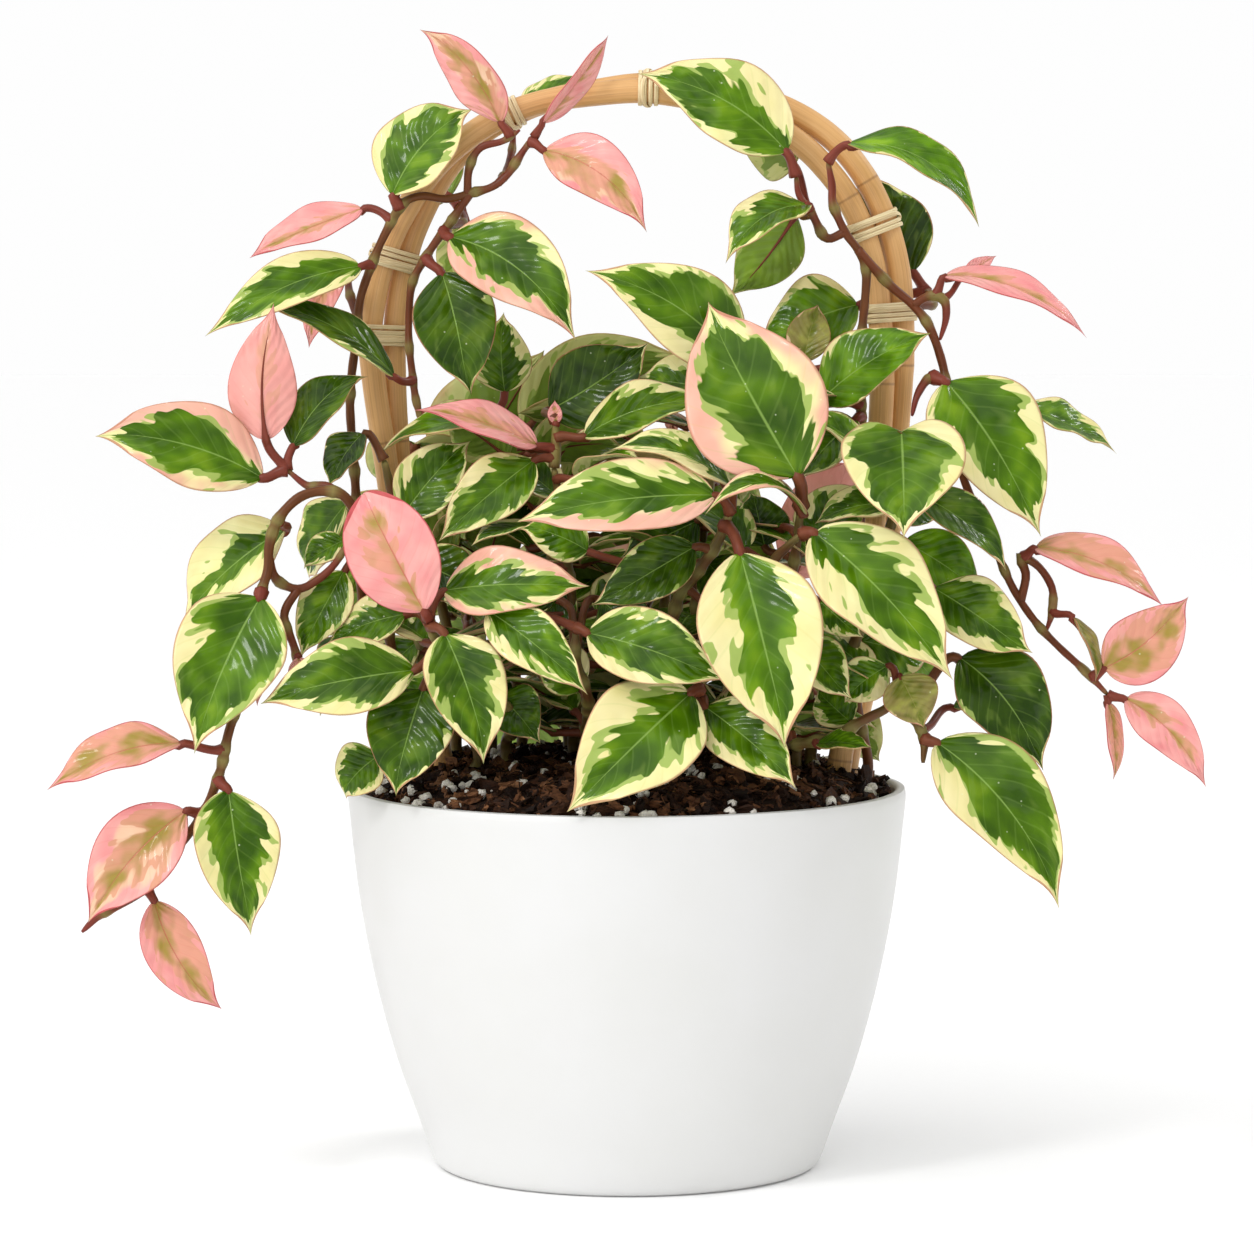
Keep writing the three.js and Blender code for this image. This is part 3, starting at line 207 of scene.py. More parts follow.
# Each stem rises from its foot, [x, y] on the soil, along a route of [px, py, depth] in the view.
# Shoots branch off it. Each leaf is [base, tip, width in mm, facing, arch, bow]: arch and bow
# move the blade's middle along its normal and to its side, as shares of its length.
STEMS = [
  {
    "name": "vine_left", "looks": "HYHGGYGYDBDGDGGD", "radius": 1.6, "foot": [-74, 10],
    "route": [
      [372, 690, -12], [362, 600, -12], [355, 478, -13], [350, 400, -14], [356, 340, -14],
      [360, 300, -14], [372, 264, -15], [384, 236, -15], [402, 205, -15], [421, 196, -15],
      [447, 199, -15], [471, 193, -15], [492, 187, -15], [507, 175, -15], [516, 162, -15],
      [524, 150, -15], [534, 137, -15],
    ],
    "shoots": [
      [
        [471, 193, -15], [448, 226, -14], [440, 236, -13], [424, 260, -12], [412, 284, -11],
        [409, 318, -11], [409, 343, -12], [412, 371, -13], [416, 400, -14], [424, 430, -15],
      ],
      [[465, 186, -15], [469, 169, -15], [480, 148, -16], [503, 141, -17], [520, 130, -17]],
      [[498, 184, -15], [506, 172, -2], [512, 150, 12], [514, 124, 15]],
      [[358, 318, -14], [349, 290, -3], [349, 264, 12]],
      [[448, 226, -14], [464, 222, 0], [460, 208, 15]],
    ],
    "leaves": [
      [[502, 127, -17], [422, 26, -22], 18, LEFT, 0.05, 0.13],
      [[540, 127, -16], [611, 33, -8], 12, [1, -0.7, -0.4], 0.08, -0.08],
      [[539, 150, -18], [648, 232, -32], 21, FRONT, 0.1, -0.09],
      [[517, 110, 17], [596, 76, 20], 14, UP, 0.06],
      [[391, 200, -17], [472, 108, -12], 31, [-0.5, -1, 0.4], 0.08, -0.07],
      [[367, 207, -12], [248, 256, -24], 17, [0, -0.8, 0.9], 0.01],
      [[367, 266, -18], [206, 338, -32], 20, [0.2, -1, 0.8], 0.14],
      [[348, 258, 17], [312, 349, 18], 12, FRONT, 0.08, 0.08],
      [[398, 381, -20], [259, 303, -30], 17, [0.3, -0.8, 1], 0.12],
      [[444, 236, -18], [577, 341, -38], 31, [0.1, -1, 0.45], 0.1, -0.07],
      [[440, 269, -16], [468, 396, -26], 28, FRONT, 0.08, -0.04],
      [[505, 395, 6], [503, 312, 8], 21, FRONT, 0.06],
      [[452, 200, 19], [385, 130, 26], 24, AWAY, 0.1],
      [[466, 220, 18], [474, 320, 28], 24, AWAY, 0.1],
      [[350, 500, -8], [306, 580, 8], 24, LEFT, 0.08],
      [[364, 640, -6], [320, 720, 8], 24, LEFT, 0.08],
    ],
  },
  {
    "name": "vine_trailing", "looks": "YBDCGTHGTTY", "radius": 1.7, "foot": [-66, -20],
    "route": [
      [402, 700, -40], [384, 610, -42], [362, 530, -46], [346, 498, -48], [327, 491, -48],
      [304, 495, -49], [287, 508, -50], [275, 526, -50], [269, 548, -51], [268, 570, -52],
      [262, 590, -54], [250, 640, -58], [240, 694, -60], [228, 735, -62], [220, 772, -62],
      [205, 810, -62], [190, 832, -62], [170, 858, -62], [150, 885, -62], [125, 902, -62],
      [100, 915, -62], [82, 932, -62],
    ],
    "shoots": [
      [[346, 498, -48], [327, 486, -44], [308, 486, -43], [287, 470, -43]],
      [
        [269, 556, -51], [276, 579, -48], [297, 589, -46], [316, 581, -45], [334, 565, -45],
        [348, 543, -46],
      ],
      [[297, 589, -46], [286, 608, -48], [285, 623, -49], [295, 650, -50], [303, 690, -50]],
    ],
    "leaves": [
      [[267, 446, -44], [277, 304, -40], 23, AWAY, -0.06, 0.05],
      [[268, 482, -44], [95, 434, -56], 30, [0.1, -1, 0.4], 0.08, 0.06],
      [[291, 450, -40], [366, 372, -26], 20, [-0.3, -0.8, 0.8], 0.12],
      [[291, 526, -40], [182, 622, -34], 31, LEFT, 0.1],
      [[264, 592, -56], [194, 754, -70], 37, FRONT, 0.07, 0.03],
      [[187, 743, -62], [47, 791, -70], 21, [0.1, -0.7, 1], 0.12],
      [[191, 808, -64], [89, 923, -72], 27, FRONT, 0.08, 0.06],
      [[228, 785, -64], [253, 936, -72], 29, [0.3, -1, 0.4], 0.07, 0.05],
      [[153, 896, -63], [222, 1010, -66], 19, FRONT, 0.06, 0.07],
      [[268, 640, -58], [256, 707, -60], 7, FRONT, 0.06],
      [[299, 655, -52], [305, 706, -54], 8, FRONT, 0.04],
    ],
  },
  {
    "name": "vine_right", "looks": "GLDGLYYLOLGGTTYTOGGDG", "radius": 1.7, "foot": [80, -6],
    "route": [
      [856, 690, -14], [860, 560, -14], [861, 430, -14], [862, 338, -14], [865, 300, -15],
      [866, 270, -15], [858, 250, -16], [845, 232, -16], [833, 204, -16], [832, 185, -15],
      [828, 162, -15],
    ],
    "shoots": [
      [
        [858, 250, -16], [874, 268, -16], [892, 287, -16], [914, 306, -16], [930, 328, -17],
        [942, 362, -18], [947, 390, -20], [951, 424, -22], [958, 460, -24], [970, 495, -26],
        [988, 530, -28], [1003, 567, -30], [1018, 597, -31], [1038, 625, -32], [1060, 648, -33],
        [1084, 670, -34], [1108, 695, -35],
      ],
      [[845, 232, -16], [826, 238, -15], [812, 214, -15], [799, 195, -15], [796, 176, -15]],
      [[914, 306, -16], [930, 296, -18], [944, 300, -19], [946, 318, -19], [940, 340, -18]],
      [[914, 306, -16], [934, 304, -3], [926, 292, 14]],
      [[946, 384, -20], [938, 377, -22], [927, 380, -25], [917, 396, -28], [912, 416, -30]],
      [[812, 214, -15], [803, 216, -4], [808, 208, 10]],
      [
        [1024, 600, -31], [1026, 575, -30], [1020, 557, -29], [1038, 566, -29], [1052, 588, -30],
        [1052, 612, -31], [1046, 632, -32],
      ],
    ],
    "leaves": [
      [[791, 157, -17], [636, 74, -14], 30, [-0.2, -1, 0.5], 0.1, 0.07],
      [[841, 145, -17], [983, 226, -28], 22, [0.1, -0.6, 1], 0.2],
      [[916, 276, 17], [864, 168, 20], 29, FRONT, 0.06, -0.06],
      [[812, 206, -17], [724, 263, -30], 24, [0, -0.45, 1], 0.19],
      [[798, 211, 6], [731, 297, 8], 23, AWAY, -0.08],
      [[938, 276, -18], [1089, 336, -28], 16, [0, -0.6, 1], 0.12],
      [[963, 276, -20], [996, 255, -14], 6, FRONT, 0],
      [[862, 304, 12], [757, 345, 14], 29, [0, -1, 0.6], 0.1],
      [[804, 365, -8], [820, 304, -6], 15, FRONT, 0.04, -0.04],
      [[818, 404, -18], [932, 333, -24], 27, [0, -0.9, 0.8], 0.09],
      [[941, 377, -26], [1040, 538, -40], 40, [0.35, -1, 0.35], 0.08],
      [[1020, 408, 0], [1119, 450, 6], 22, UP, 0.03],
      [[1029, 548, -32], [1163, 606, -40], 22, [0, -0.65, 1], 0.13],
      [[1100, 670, -36], [1187, 594, -38], 24, [0.3, -1, 0.2], 0.08, 0.06],
      [[1121, 697, -36], [1206, 789, -44], 17, FRONT, 0.1, -0.08],
      [[1107, 699, -35], [1116, 783, -34], 9, RIGHT, 0.06],
      [[1072, 615, -36], [1100, 682, -40], 11, [1, -0.5, 0.3], 0.05],
      [[796, 168, 4], [722, 104, 26], 25, AWAY, 0.1],
      [[858, 418, -18], [796, 484, -24], 26, LEFT, 0.08],
      [[866, 480, -8], [938, 520, 10], 24, RIGHT, 0.08],
      [[864, 620, -8], [940, 690, 8], 24, RIGHT, 0.08],
    ],
  },
  {
    "name": "spray_top_left", "looks": "YGGGYDGD", "radius": 1.9, "foot": [-18, 12],
    "route": [[582, 700, -12], [572, 600, -18], [562, 520, -24], [554, 468, -26]],
    "shoots": [[[554, 468, -26], [556, 440, -26], [555, 420, -26]]],
    "leaves": [
      [[542, 448, -28], [414, 407, -40], 19, [0.1, -0.7, 0.9], 0.06],
      [[541, 452, -26], [376, 453, -34], 27, [0, -0.35, 1], 0.2],
      [[537, 458, -28], [438, 541, -44], 22, [0.2, -1, 0.6], 0.06],
      [[580, 440, -28], [715, 400, -34], 25, [0, -0.8, 1], 0.1],
      [[556, 425, -26], [555, 400, -26], 5, FRONT, 0],
      [[545, 412, -10], [650, 342, -8], 28, FRONT, 0.08, 0.07],
      [[560, 500, -20], [498, 462, -10], 21, UP, 0.08],
      [[570, 580, -14], [520, 640, -16], 20, FRONT, 0.08],
    ],
  },
  {
    "name": "spray_top_mid", "looks": "GGGDD", "radius": 1.9, "foot": [20, 14],
    "route": [[690, 700, -8], [700, 560, -14], [716, 440, -24], [738, 392, -28]],
    "leaves": [
      [[742, 372, -30], [584, 272, -38], 31, [-0.1, -1, 0.5], 0.1, 0.06],
      [[730, 395, -20], [634, 380, -14], 26, [0, -0.8, 0.8], 0.08],
      [[745, 400, -18], [800, 345, -8], 24, FRONT, 0.08],
      [[700, 520, -18], [620, 560, -22], 22, FRONT, 0.08],
      [[704, 560, -10], [756, 620, -16], 22, FRONT, 0.08],
    ],
  },
  {
    "name": "spray_centre_high", "looks": "BDBGDG", "radius": 1.9, "foot": [48, 8],
    "route": [[772, 700, -24], [786, 620, -36], [797, 540, -45], [801, 506, -51]],
    "leaves": [
      [[802, 484, -60], [704, 302, -46], 47, [-0.25, -1, 0.35], 0.07],
      [[765, 548, -34], [752, 490, -32], 20, FRONT, 0.06],
      [[808, 520, -54], [700, 512, -72], 14, [0, -0.5, 1], 0.3],
      [[803, 552, -34], [868, 484, -30], 24, [0, -0.8, 0.7], 0.08],
      [[784, 630, -30], [832, 690, -38], 21, FRONT, 0.08],
      [[776, 670, -26], [722, 716, -34], 20, FRONT, 0.08],
    ],
  },
  {
    "name": "spray_centre", "looks": "BCDGCD", "radius": 2.1, "foot": [6, -2],
    "route": [[662, 700, -34], [676, 605, -44], [696, 574, -48], [716, 545, -52], [730, 512, -56]],
    "leaves": [
      [[722, 496, -62], [516, 521, -72], 27, [0, -1, 0.55], 0.1],
      [[735, 492, -52], [608, 448, -54], 24, [0, -0.5, 1], 0.16],
      [[698, 545, -52], [592, 608, -60], 20, [0.1, -1, 0.3], 0.06],
      [[590, 552, -46], [520, 525, -48], 17, FRONT, 0.06],
      [[738, 546, -66], [789, 748, -86], 41, FRONT, 0.07],
      [[700, 600, -46], [780, 640, -52], 20, FRONT, 0.08],
    ],
  },
  {
    "name": "spray_front_right", "looks": "CGG", "radius": 1.9, "foot": [36, -8],
    "route": [[752, 700, -38], [762, 620, -46], [772, 566, -55], [788, 546, -60], [802, 534, -62]],
    "leaves": [
      [[808, 528, -64], [953, 682, -80], 36, [0.2, -1, 0.4], 0.08],
      [[818, 600, -44], [862, 640, -48], 14, FRONT, 0.06],
      [[800, 640, -50], [850, 700, -62], 18, FRONT, 0.06],
    ],
  },
  {
    "name": "spray_left", "looks": "EBGGDGGDG", "radius": 1.9, "foot": [-40, -6],
    "route": [[520, 720, -40], [480, 690, -50], [450, 660, -56], [434, 636, -60], [428, 618, -62]],
    "leaves": [
      [[427, 616, -66], [362, 492, -64], 30, [-0.2, -1, 0.2], 0.08],
      [[440, 592, -56], [590, 588, -66], 26, [0, -0.9, 0.6], 0.1],
      [[443, 630, -66], [487, 763, -78], 27, [0.2, -1, 0.3], 0.07],
      [[420, 670, -62], [259, 701, -70], 27, [0, -1, 0.5], 0.1],
      [[424, 686, -58], [393, 795, -72], 29, FRONT, 0.07],
      [[382, 754, -50], [341, 797, -48], 20, [-0.4, -1, 0.4], 0.1],
      [[408, 614, -44], [326, 646, -40], 18, LEFT, 0.08],
      [[496, 694, -38], [540, 744, -56], 19, FRONT, 0.08],
      [[450, 676, -47], [404, 728, -40], 19, LEFT, 0.08],
    ],
  },
  {
    "name": "spray_front_left", "looks": "GGDDG", "radius": 1.9, "foot": [-14, -14],
    "route": [[588, 700, -52], [576, 660, -60], [576, 628, -66]],
    "leaves": [
      [[484, 608, -66], [590, 694, -80], 20, [0, -1, 0.4], 0.08],
      [[582, 632, -68], [728, 684, -80], 26, [0, -1, 0.4], 0.08],
      [[560, 600, -40], [480, 570, -44], 20, FRONT, 0.06],
      [[600, 600, -36], [660, 640, -46], 18, FRONT, 0.06],
      [[584, 690, -48], [534, 650, -42], 18, FRONT, 0.08],
    ],
  },
  {
    "name": "spray_front", "looks": "CG", "radius": 1.9, "foot": [18, -20],
    "route": [[700, 740, -54], [704, 712, -60], [700, 690, -66]],
    "leaves": [
      [[695, 690, -68], [568, 813, -97], 37, [0, -1, 0.45], 0.08],
      [[702, 705, -66], [799, 786, -84], 23, [0, -1, 0.4], 0.08],
    ],
  },
  {
    "name": "spray_low_right", "looks": "GOGLLDG", "radius": 1.8, "foot": [56, -14],
    "route": [
      [795, 745, -44], [837, 736, -50], [860, 722, -52], [884, 710, -53], [899, 700, -54],
      [914, 718, -55], [924, 738, -55], [923, 763, -56],
    ],
    "leaves": [
      [[930, 738, -57], [1062, 908, -74], 33, [0.2, -1, 0.35], 0.08, -0.05],
      [[899, 675, -54], [924, 728, -58], 19, FRONT, 0.06],
      [[889, 665, -50], [843, 702, -50], 16, FRONT, 0.06],
      [[815, 745, -52], [872, 749, -60], 13, UP, 0.08],
      [[950, 706, -40], [1030, 733, -42], 16, UP, 0.1],
      [[955, 655, -44], [1042, 772, -54], 31, [0.2, -1, 0.4], 0.08, -0.06],
      [[852, 724, -44], [816, 690, -36], 16, FRONT, 0.08],
    ],
  },
  {
    "name": "spray_right", "looks": "VGDLGGDG", "radius": 2, "foot": [62, -2],
    "route": [[842, 680, -34], [874, 580, -44], [898, 500, -50], [908, 450, -52]],
    "leaves": [
      [[901, 428, -50], [904, 537, -86], 41, [0, -0.75, 1], 0.05],
      [[905, 505, -46], [812, 524, -44], 21, [0, -0.6, 1], 0.12],
      [[905, 490, -50], [1011, 568, -54], 20, [0.1, -0.7, 0.9], 0.12],
      [[900, 540, -30], [984, 597, -24], 21, FRONT, 0.08],
      [[930, 586, -44], [1031, 656, -52], 25, [0.2, -1, 0.5], 0.08, 0.03],
      [[850, 650, -28], [904, 616, -16], 20, FRONT, 0.08],
      [[846, 670, -26], [788, 652, -22], 19, FRONT, 0.08],
      [[856, 640, -28], [930, 660, -14], 22, FRONT, 0.08],
    ],
  },
  {
    "name": "spray_left_high", "looks": "DGGGDGD", "radius": 2, "foot": [-50, -16],
    "route": [[432, 700, -20], [416, 600, -24], [398, 520, -26], [384, 460, -26]],
    "leaves": [
      [[365, 432, -26], [330, 488, -30], 19, LEFT, 0.08],
      [[346, 540, -34], [300, 566, -36], 14, LEFT, 0.08],
      [[346, 568, -38], [297, 657, -38], 18, FRONT, 0.08],
      [[400, 520, -30], [470, 440, -22], 22, FRONT, 0.08],
      [[410, 560, -34], [490, 600, -40], 20, FRONT, 0.08],
      [[420, 640, -16], [366, 706, -16], 22, LEFT, 0.08],
      [[426, 668, -14], [484, 640, -12], 21, FRONT, 0.08],
    ],
  },
]

# Sprays of the front grow again at the back. Each row is [name, front stem, foot, turn about the
# pot's axis in degrees, how far out and how high it is drawn, and how many leaves it keeps].
BACK_SPRAYS = [
    ("back_1", "spray_top_left", [22, 26], 196, 1.05, 0.96, 5),
    ("back_2", "spray_top_mid", [-20, 30], 172, 1.1, 0.84, 4),
    ("back_3", "spray_centre_high", [-46, 22], 184, 1, 0.9, 4),
    ("back_4", "spray_centre", [0, 38], 168, 1, 0.97, 6),
    ("back_5", "spray_front_right", [-36, 36], 176, 1, 1, 3),
    ("back_6", "spray_left", [42, 30], 186, 1, 1.03, 6),
    ("back_7", "spray_front_left", [12, 44], 190, 1, 1, 3),
    ("back_8", "spray_low_right", [30, 52], 138, 0.85, 1, 5),
    ("back_9", "spray_right", [-58, 24], 176, 0.86, 0.94, 5),
    ("back_10", "spray_front", [-16, 50], 170, 1, 1, 1),
]

# Heights above the soil of the first points of every stem
FOOT_RISES = (-SOIL_DEPTH, -3, 8)
# Depths by which the CAD source may have moved a leaf's base and tip to keep stems apart
LEAF_STEPS = [
    (0, 0), (0, -4), (0, 4), (-3, -3), (3, 3), (0, -8), (0, 8), (-3, -8), (3, 8), (-6, -6), (6, 6),
    (-6, -12), (6, 12), (0, -13), (0, 13), (-10, -10), (10, 10), (-10, -18), (10, 18), (-14, -8),
    (14, 8), (-15, -15), (15, 15),
]
# The CAD blade's wide station, as [share of length, share of width]. Blades at the back and those
# narrower than SMALL_WIDTH have the plain one.
WIDE_STATION = (0.28, 0.97)
PLAIN_STATION = (0.35, 1)
SMALL_WIDTH = 20
# How near the CAD node's nearest vertex has to be to the tip of a leaf
TIP_TOLERANCE = 0.2
# How far each half of a blade rises from its midrib
BLADE_FOLD = math.radians(13)
STALK_RADIUS = 1.25
# Radius of a shoot as a share of its stem's
SHOOT_SHARE = 0.85
# Lengths over which a shoot's end thins out and over which a vine's end is still red
SHOOT_TIP = 9
FRESH_LENGTH = 34
# The small leaves inside the bush: how far up a stem their pairs start, how far before its end they
# stop and the gaps between pairs, then the lengths of their stalks and blades, their widths as
# shares of the length and their arches
INNER_START = 26
INNER_END = 6
INNER_GAPS = (14, 20)
INNER_STALKS = (6, 11)
INNER_LENGTHS = (30, 48)
INNER_WIDTHS = (0.46, 0.56)
INNER_ARCHES = (0.06, 0.16)
INNER_LOOKS = "GGDGCGB"
# The bush that they stay in: how far it reaches from the pot's axis and to the front, and the room
# over the soil, over the pot and inside its lip
INNER_REACH = 96
INNER_FRONT = -52
ROOM_OVER_SOIL = 6
ROOM_OVER_POT = 8
ROOM_INSIDE_LIP = 12
# Random draws of a leaf start from its stem's number times this, plus its own number
LEAF_NUMBERS = 40
# Where the blade starts, as a share of the way from the leaf's base to its tip
BLADE_START = 0.035
# How much narrower the tip of a blade is than its outline's formula gives, and the share of the
# blade that is drawn in so
TIP_DRAW = 0.5
TIP_SHARE = 0.2
# The share of a blade that curls and turns aside towards its tip
CURL_SHARE = 0.28
# The sunk midrib on top of a blade: depth and half width
GROOVE_DEPTH = 0.3
GROOVE_WIDTH = 0.9
# How much thinner a blade is at its edges than beside its midrib, as a share
EDGE_THINNING = 0.65
# Stretch of a blade that shows the midrib under it, and its steps; a stalk has steps of its own
RIB_RANGE = (0.05, 0.84)
RIB_STEPS = 15
STALK_STEPS = 10
# Joints of a stem: where the first one is, the gaps between them, their length and their swelling
STEM_JOINT_START = (8, 16)
STEM_JOINT_GAPS = (15, 27)
STEM_JOINT_LENGTH = 1.9
STEM_JOINT_SWELL = 0.36
# Rows and columns of points in the blades of the leaves seen and of the small ones inside
BLADE_GRID = (30, 16)
INNER_BLADE_GRID = (18, 10)
# Powers of the outline's formula at the base and the tip of a blunt leaf
BLUNT_SHAPE = (0.7, 0.72)
# Where the lobes of a heart-shaped base reach back most, as a share of the blade's length
HEART_PLACE = 0.07

# Stage
FLOOR_RADIUS = 12
# Light of the walls and of the ceiling, and the heights between which one turns into the other, as
# the upward part of the direction of sight
WALL_LIGHT = 0.99
CEILING_LIGHT = 0.62
CEILING_RANGE = (0.08, 0.35)
# The sun-like panel: where it shines from, how many degrees wide it is and how strong
SUN_WAY = (-0.5, -0.44, 0.82)
SUN_SPREAD = 90
SUN_POWER = 1.5
# Square lamps in metres and watts, each [name, place, width, power], which aim at LAMP_AIM
LAMPS = [
    ("key", (-1.0, -1.3, 1.5), 0.34, 9),
    ("rim", (1.2, 0.6, 1.3), 0.3, 5),
]
LAMP_AIM = (0, 0, 0.25)
SENSOR_WIDTH = 36


# Geometry

def seen(point):
    """The point that shows at a pixel of the front view, at a depth behind the hoop's plane."""
    px, py, depth = point
    forward = Vector((0, math.cos(VIEW_PITCH), -math.sin(VIEW_PITCH)))
    upward = Vector((0, math.sin(VIEW_PITCH), math.cos(VIEW_PITCH)))
    eye = Vector((0, 0, VIEW_HEIGHT)) - forward * VIEW_DISTANCE
    ray = forward * (VIEW_DISTANCE / PIXEL) + upward * (VIEW_CENTRE - py)
    ray.x += px - VIEW_CENTRE
    return eye + ray * ((depth - eye.y) / ray.y)


class Curve:
    """A smooth curve through points, with places at even steps of its length."""

    def __init__(self, points, step=1.0):
        ends = [2 * points[0] - points[1], *points, 2 * points[-1] - points[-2]]
        fine = []
        for a, b, c, d in zip(ends, ends[1:], ends[2:], ends[3:]):
            for i in range(CURVE_STEPS):
                fine.append(self.between(a, b, c, d, i / CURVE_STEPS))
        fine.append(points[-1].copy())
        lengths = [0.0]
        for a, b in zip(fine, fine[1:]):
            lengths.append(lengths[-1] + (b - a).length)
        self.length = lengths[-1]
        self.count = max(4, round(self.length / step))
        shares = np.linspace(0, self.length, self.count + 1)
        table = np.array([p[:] for p in fine])
        self.points = np.column_stack([np.interp(shares, lengths, table[:, k]) for k in range(3)])

    @staticmethod
    def between(a, b, c, d, t):
        """A point between b and c that leaves and arrives parallel to the chords beside them."""
        slope_b = (c - a) * 0.5
        slope_c = (d - b) * 0.5
        rise = 3 * t * t - 2 * t * t * t
        return (
            b * (1 - rise) + c * rise
            + slope_b * (t * (1 - t) ** 2) - slope_c * (t * t * (1 - t))
        )

    def at(self, share):
        """The point at a share of the curve's length."""
        place = share * self.count
        low = min(int(place), self.count - 1)
        point = self.points[low] + (self.points[low + 1] - self.points[low]) * (place - low)
        return Vector(point)

    def tangent(self, share):
        """The direction in which the curve runs there."""
        step = 0.5 / self.count
        ahead = self.at(min(1, share + step))
        return (ahead - self.at(max(0, share - step))).normalized()

    def nearest(self, point):
        """The share of the curve's length that comes nearest to a point."""
        away = ((self.points - np.array(point)) ** 2).sum(axis=1)
        return int(away.argmin()) / self.count


def soil_top(x, y):
    """Height of the heaped soil without its clumps, in mm, as in the CAD."""
    share = math.hypot(x, y) / (LIP_RADIUS - POT_WALL)
    return SOIL_HEIGHT + SOIL_MOUND * (1 - share ** SOIL_MOUND_POWER)


def growth(stem):
    """How a stem's points are turned and drawn out from where the table puts them."""
    angle = math.radians(stem.get("turn", 0))
    reach = stem.get("reach", 1)
    height = stem.get("height", 1)

    def grow(point):
        x = point.x * math.cos(angle) - point.y * math.sin(angle)
        y = point.x * math.sin(angle) + point.y * math.cos(angle)
        z = SOIL_HEIGHT + (point.z - SOIL_HEIGHT) * height
        return Vector((x * reach, y * reach, z))

    return grow


def stem_curves(stem):
    """A stem's own curve and then those of its shoots, each of which starts on one before it."""
    x, y = stem["foot"]
    grow = growth(stem)
    foot = [Vector((x, y, soil_top(x, y) + rise)) for rise in FOOT_RISES]
    curves = [Curve(foot + [grow(seen(q)) for q in stem["route"]])]
    for shoot in stem.get("shoots", []):
        points = [grow(seen(q)) for q in shoot]
        points[0] = nearest_on(curves, points[0])[0]
        curves.append(Curve(points))
    return curves


def nearest_on(curves, point):
    """The nearest place on some curves, with its curve and its share of that curve's length."""
    found = []
    for curve in curves:
        share = curve.nearest(point)
        place = curve.at(share)
        found.append(((place - point).length, place, curve, share))
    found.sort(key=lambda f: f[0])
    return found[0][1:]


class Leaf:
    """One leaf's place, directions and look."""

    def __init__(self, base, tip, width, facing, arch, bow, look, chance):
        kind = LOOKS[look]
        self.base = base
        self.tip = tip
        self.width = width
        self.arch = arch
        self.bow = bow
        self.seed = kind["tone"] + chance.uniform(-0.14, 0.1)
        self.young = kind["young"]
        self.blush = kind["blush"]
        self.green = kind["green"] + chance.uniform(-0.08, 0.08)
        self.heart = kind.get("heart", 0)
        self.shape = (chance.uniform(0.68, 0.82), chance.uniform(1.12, 1.35))
        self.draw = TIP_DRAW
        if kind.get("blunt"):
            self.shape = BLUNT_SHAPE
            self.draw = 0
        self.fold = chance.uniform(0.8, 1.15)
        self.waves = chance.uniform(1.6, 2.6)
        self.phase = chance.uniform(0, 2 * math.pi)
        self.curl = chance.uniform(-1.8, 0.6)
        self.sway = chance.uniform(-1, 1)
        self.hook = chance.uniform(-1.4, 1.4)
        self.length = (tip - base).length
        self.along = (tip - base).normalized()
        self.normal = (facing - self.along * facing.dot(self.along)).normalized()
        self.side = self.along.cross(self.normal)

    def midrib(self, share):
        """Places on the arched and bowed midrib, and the directions that it runs in there."""
        share = np.asarray(share)[..., None]
        along, normal, side = (np.array(way) for way in (self.along, self.normal, self.side))
        lean = normal * self.arch + side * self.bow
        at = np.array(self.base) + self.length * (along * share + lean * 4 * share * (1 - share))
        run = along + lean * 4 * (1 - 2 * share)
        return at, run / np.linalg.norm(run, axis=-1, keepdims=True)

    def across(self, run):
        """The direction across the blade where its midrib runs in a given direction."""
        side = np.array(self.side)
        side = side - run * (run * side).sum(axis=-1, keepdims=True)
        return side / np.linalg.norm(side, axis=-1, keepdims=True)


class Stem:
    """A stem with its shoots and its leaves, as the CAD node of its name holds them."""

    def __init__(self, row, number):
        self.name = row["name"]
        self.radius = row["radius"]
        self.is_vine = row["name"].startswith("vine")
        self.curves = stem_curves(row)
        self.leaves = []
        tree = vertex_tree(self.name)
        for i, (leaf_row, look) in enumerate(zip(row["leaves"], row["looks"])):
            leaf = placed_leaf(row, leaf_row, look, tree, number * LEAF_NUMBERS + i)
            if leaf:
                self.leaves.append(leaf)
        self.inner_leaves = [] if self.is_vine else inner_leaves(self)


def table_leaf(stem, row, step, look, number):
    """The leaf of a table row, moved in depth by a step."""
    (bx, by, base_depth), (tx, ty, tip_depth), width, facing, arch, *bow = row
    grow = growth(stem)
    base = grow(seen((bx, by, base_depth + step[0])))
    tip = grow(seen((tx, ty, tip_depth + step[1])))
    faces = Vector(facing)
    faces.rotate(Matrix.Rotation(math.radians(stem.get("turn", 0)), 3, "Z"))
    chance = random.Random(SEED * 1000 + number)
    return Leaf(base, tip, width, faces, arch, bow[0] if bow else 0, look, chance)


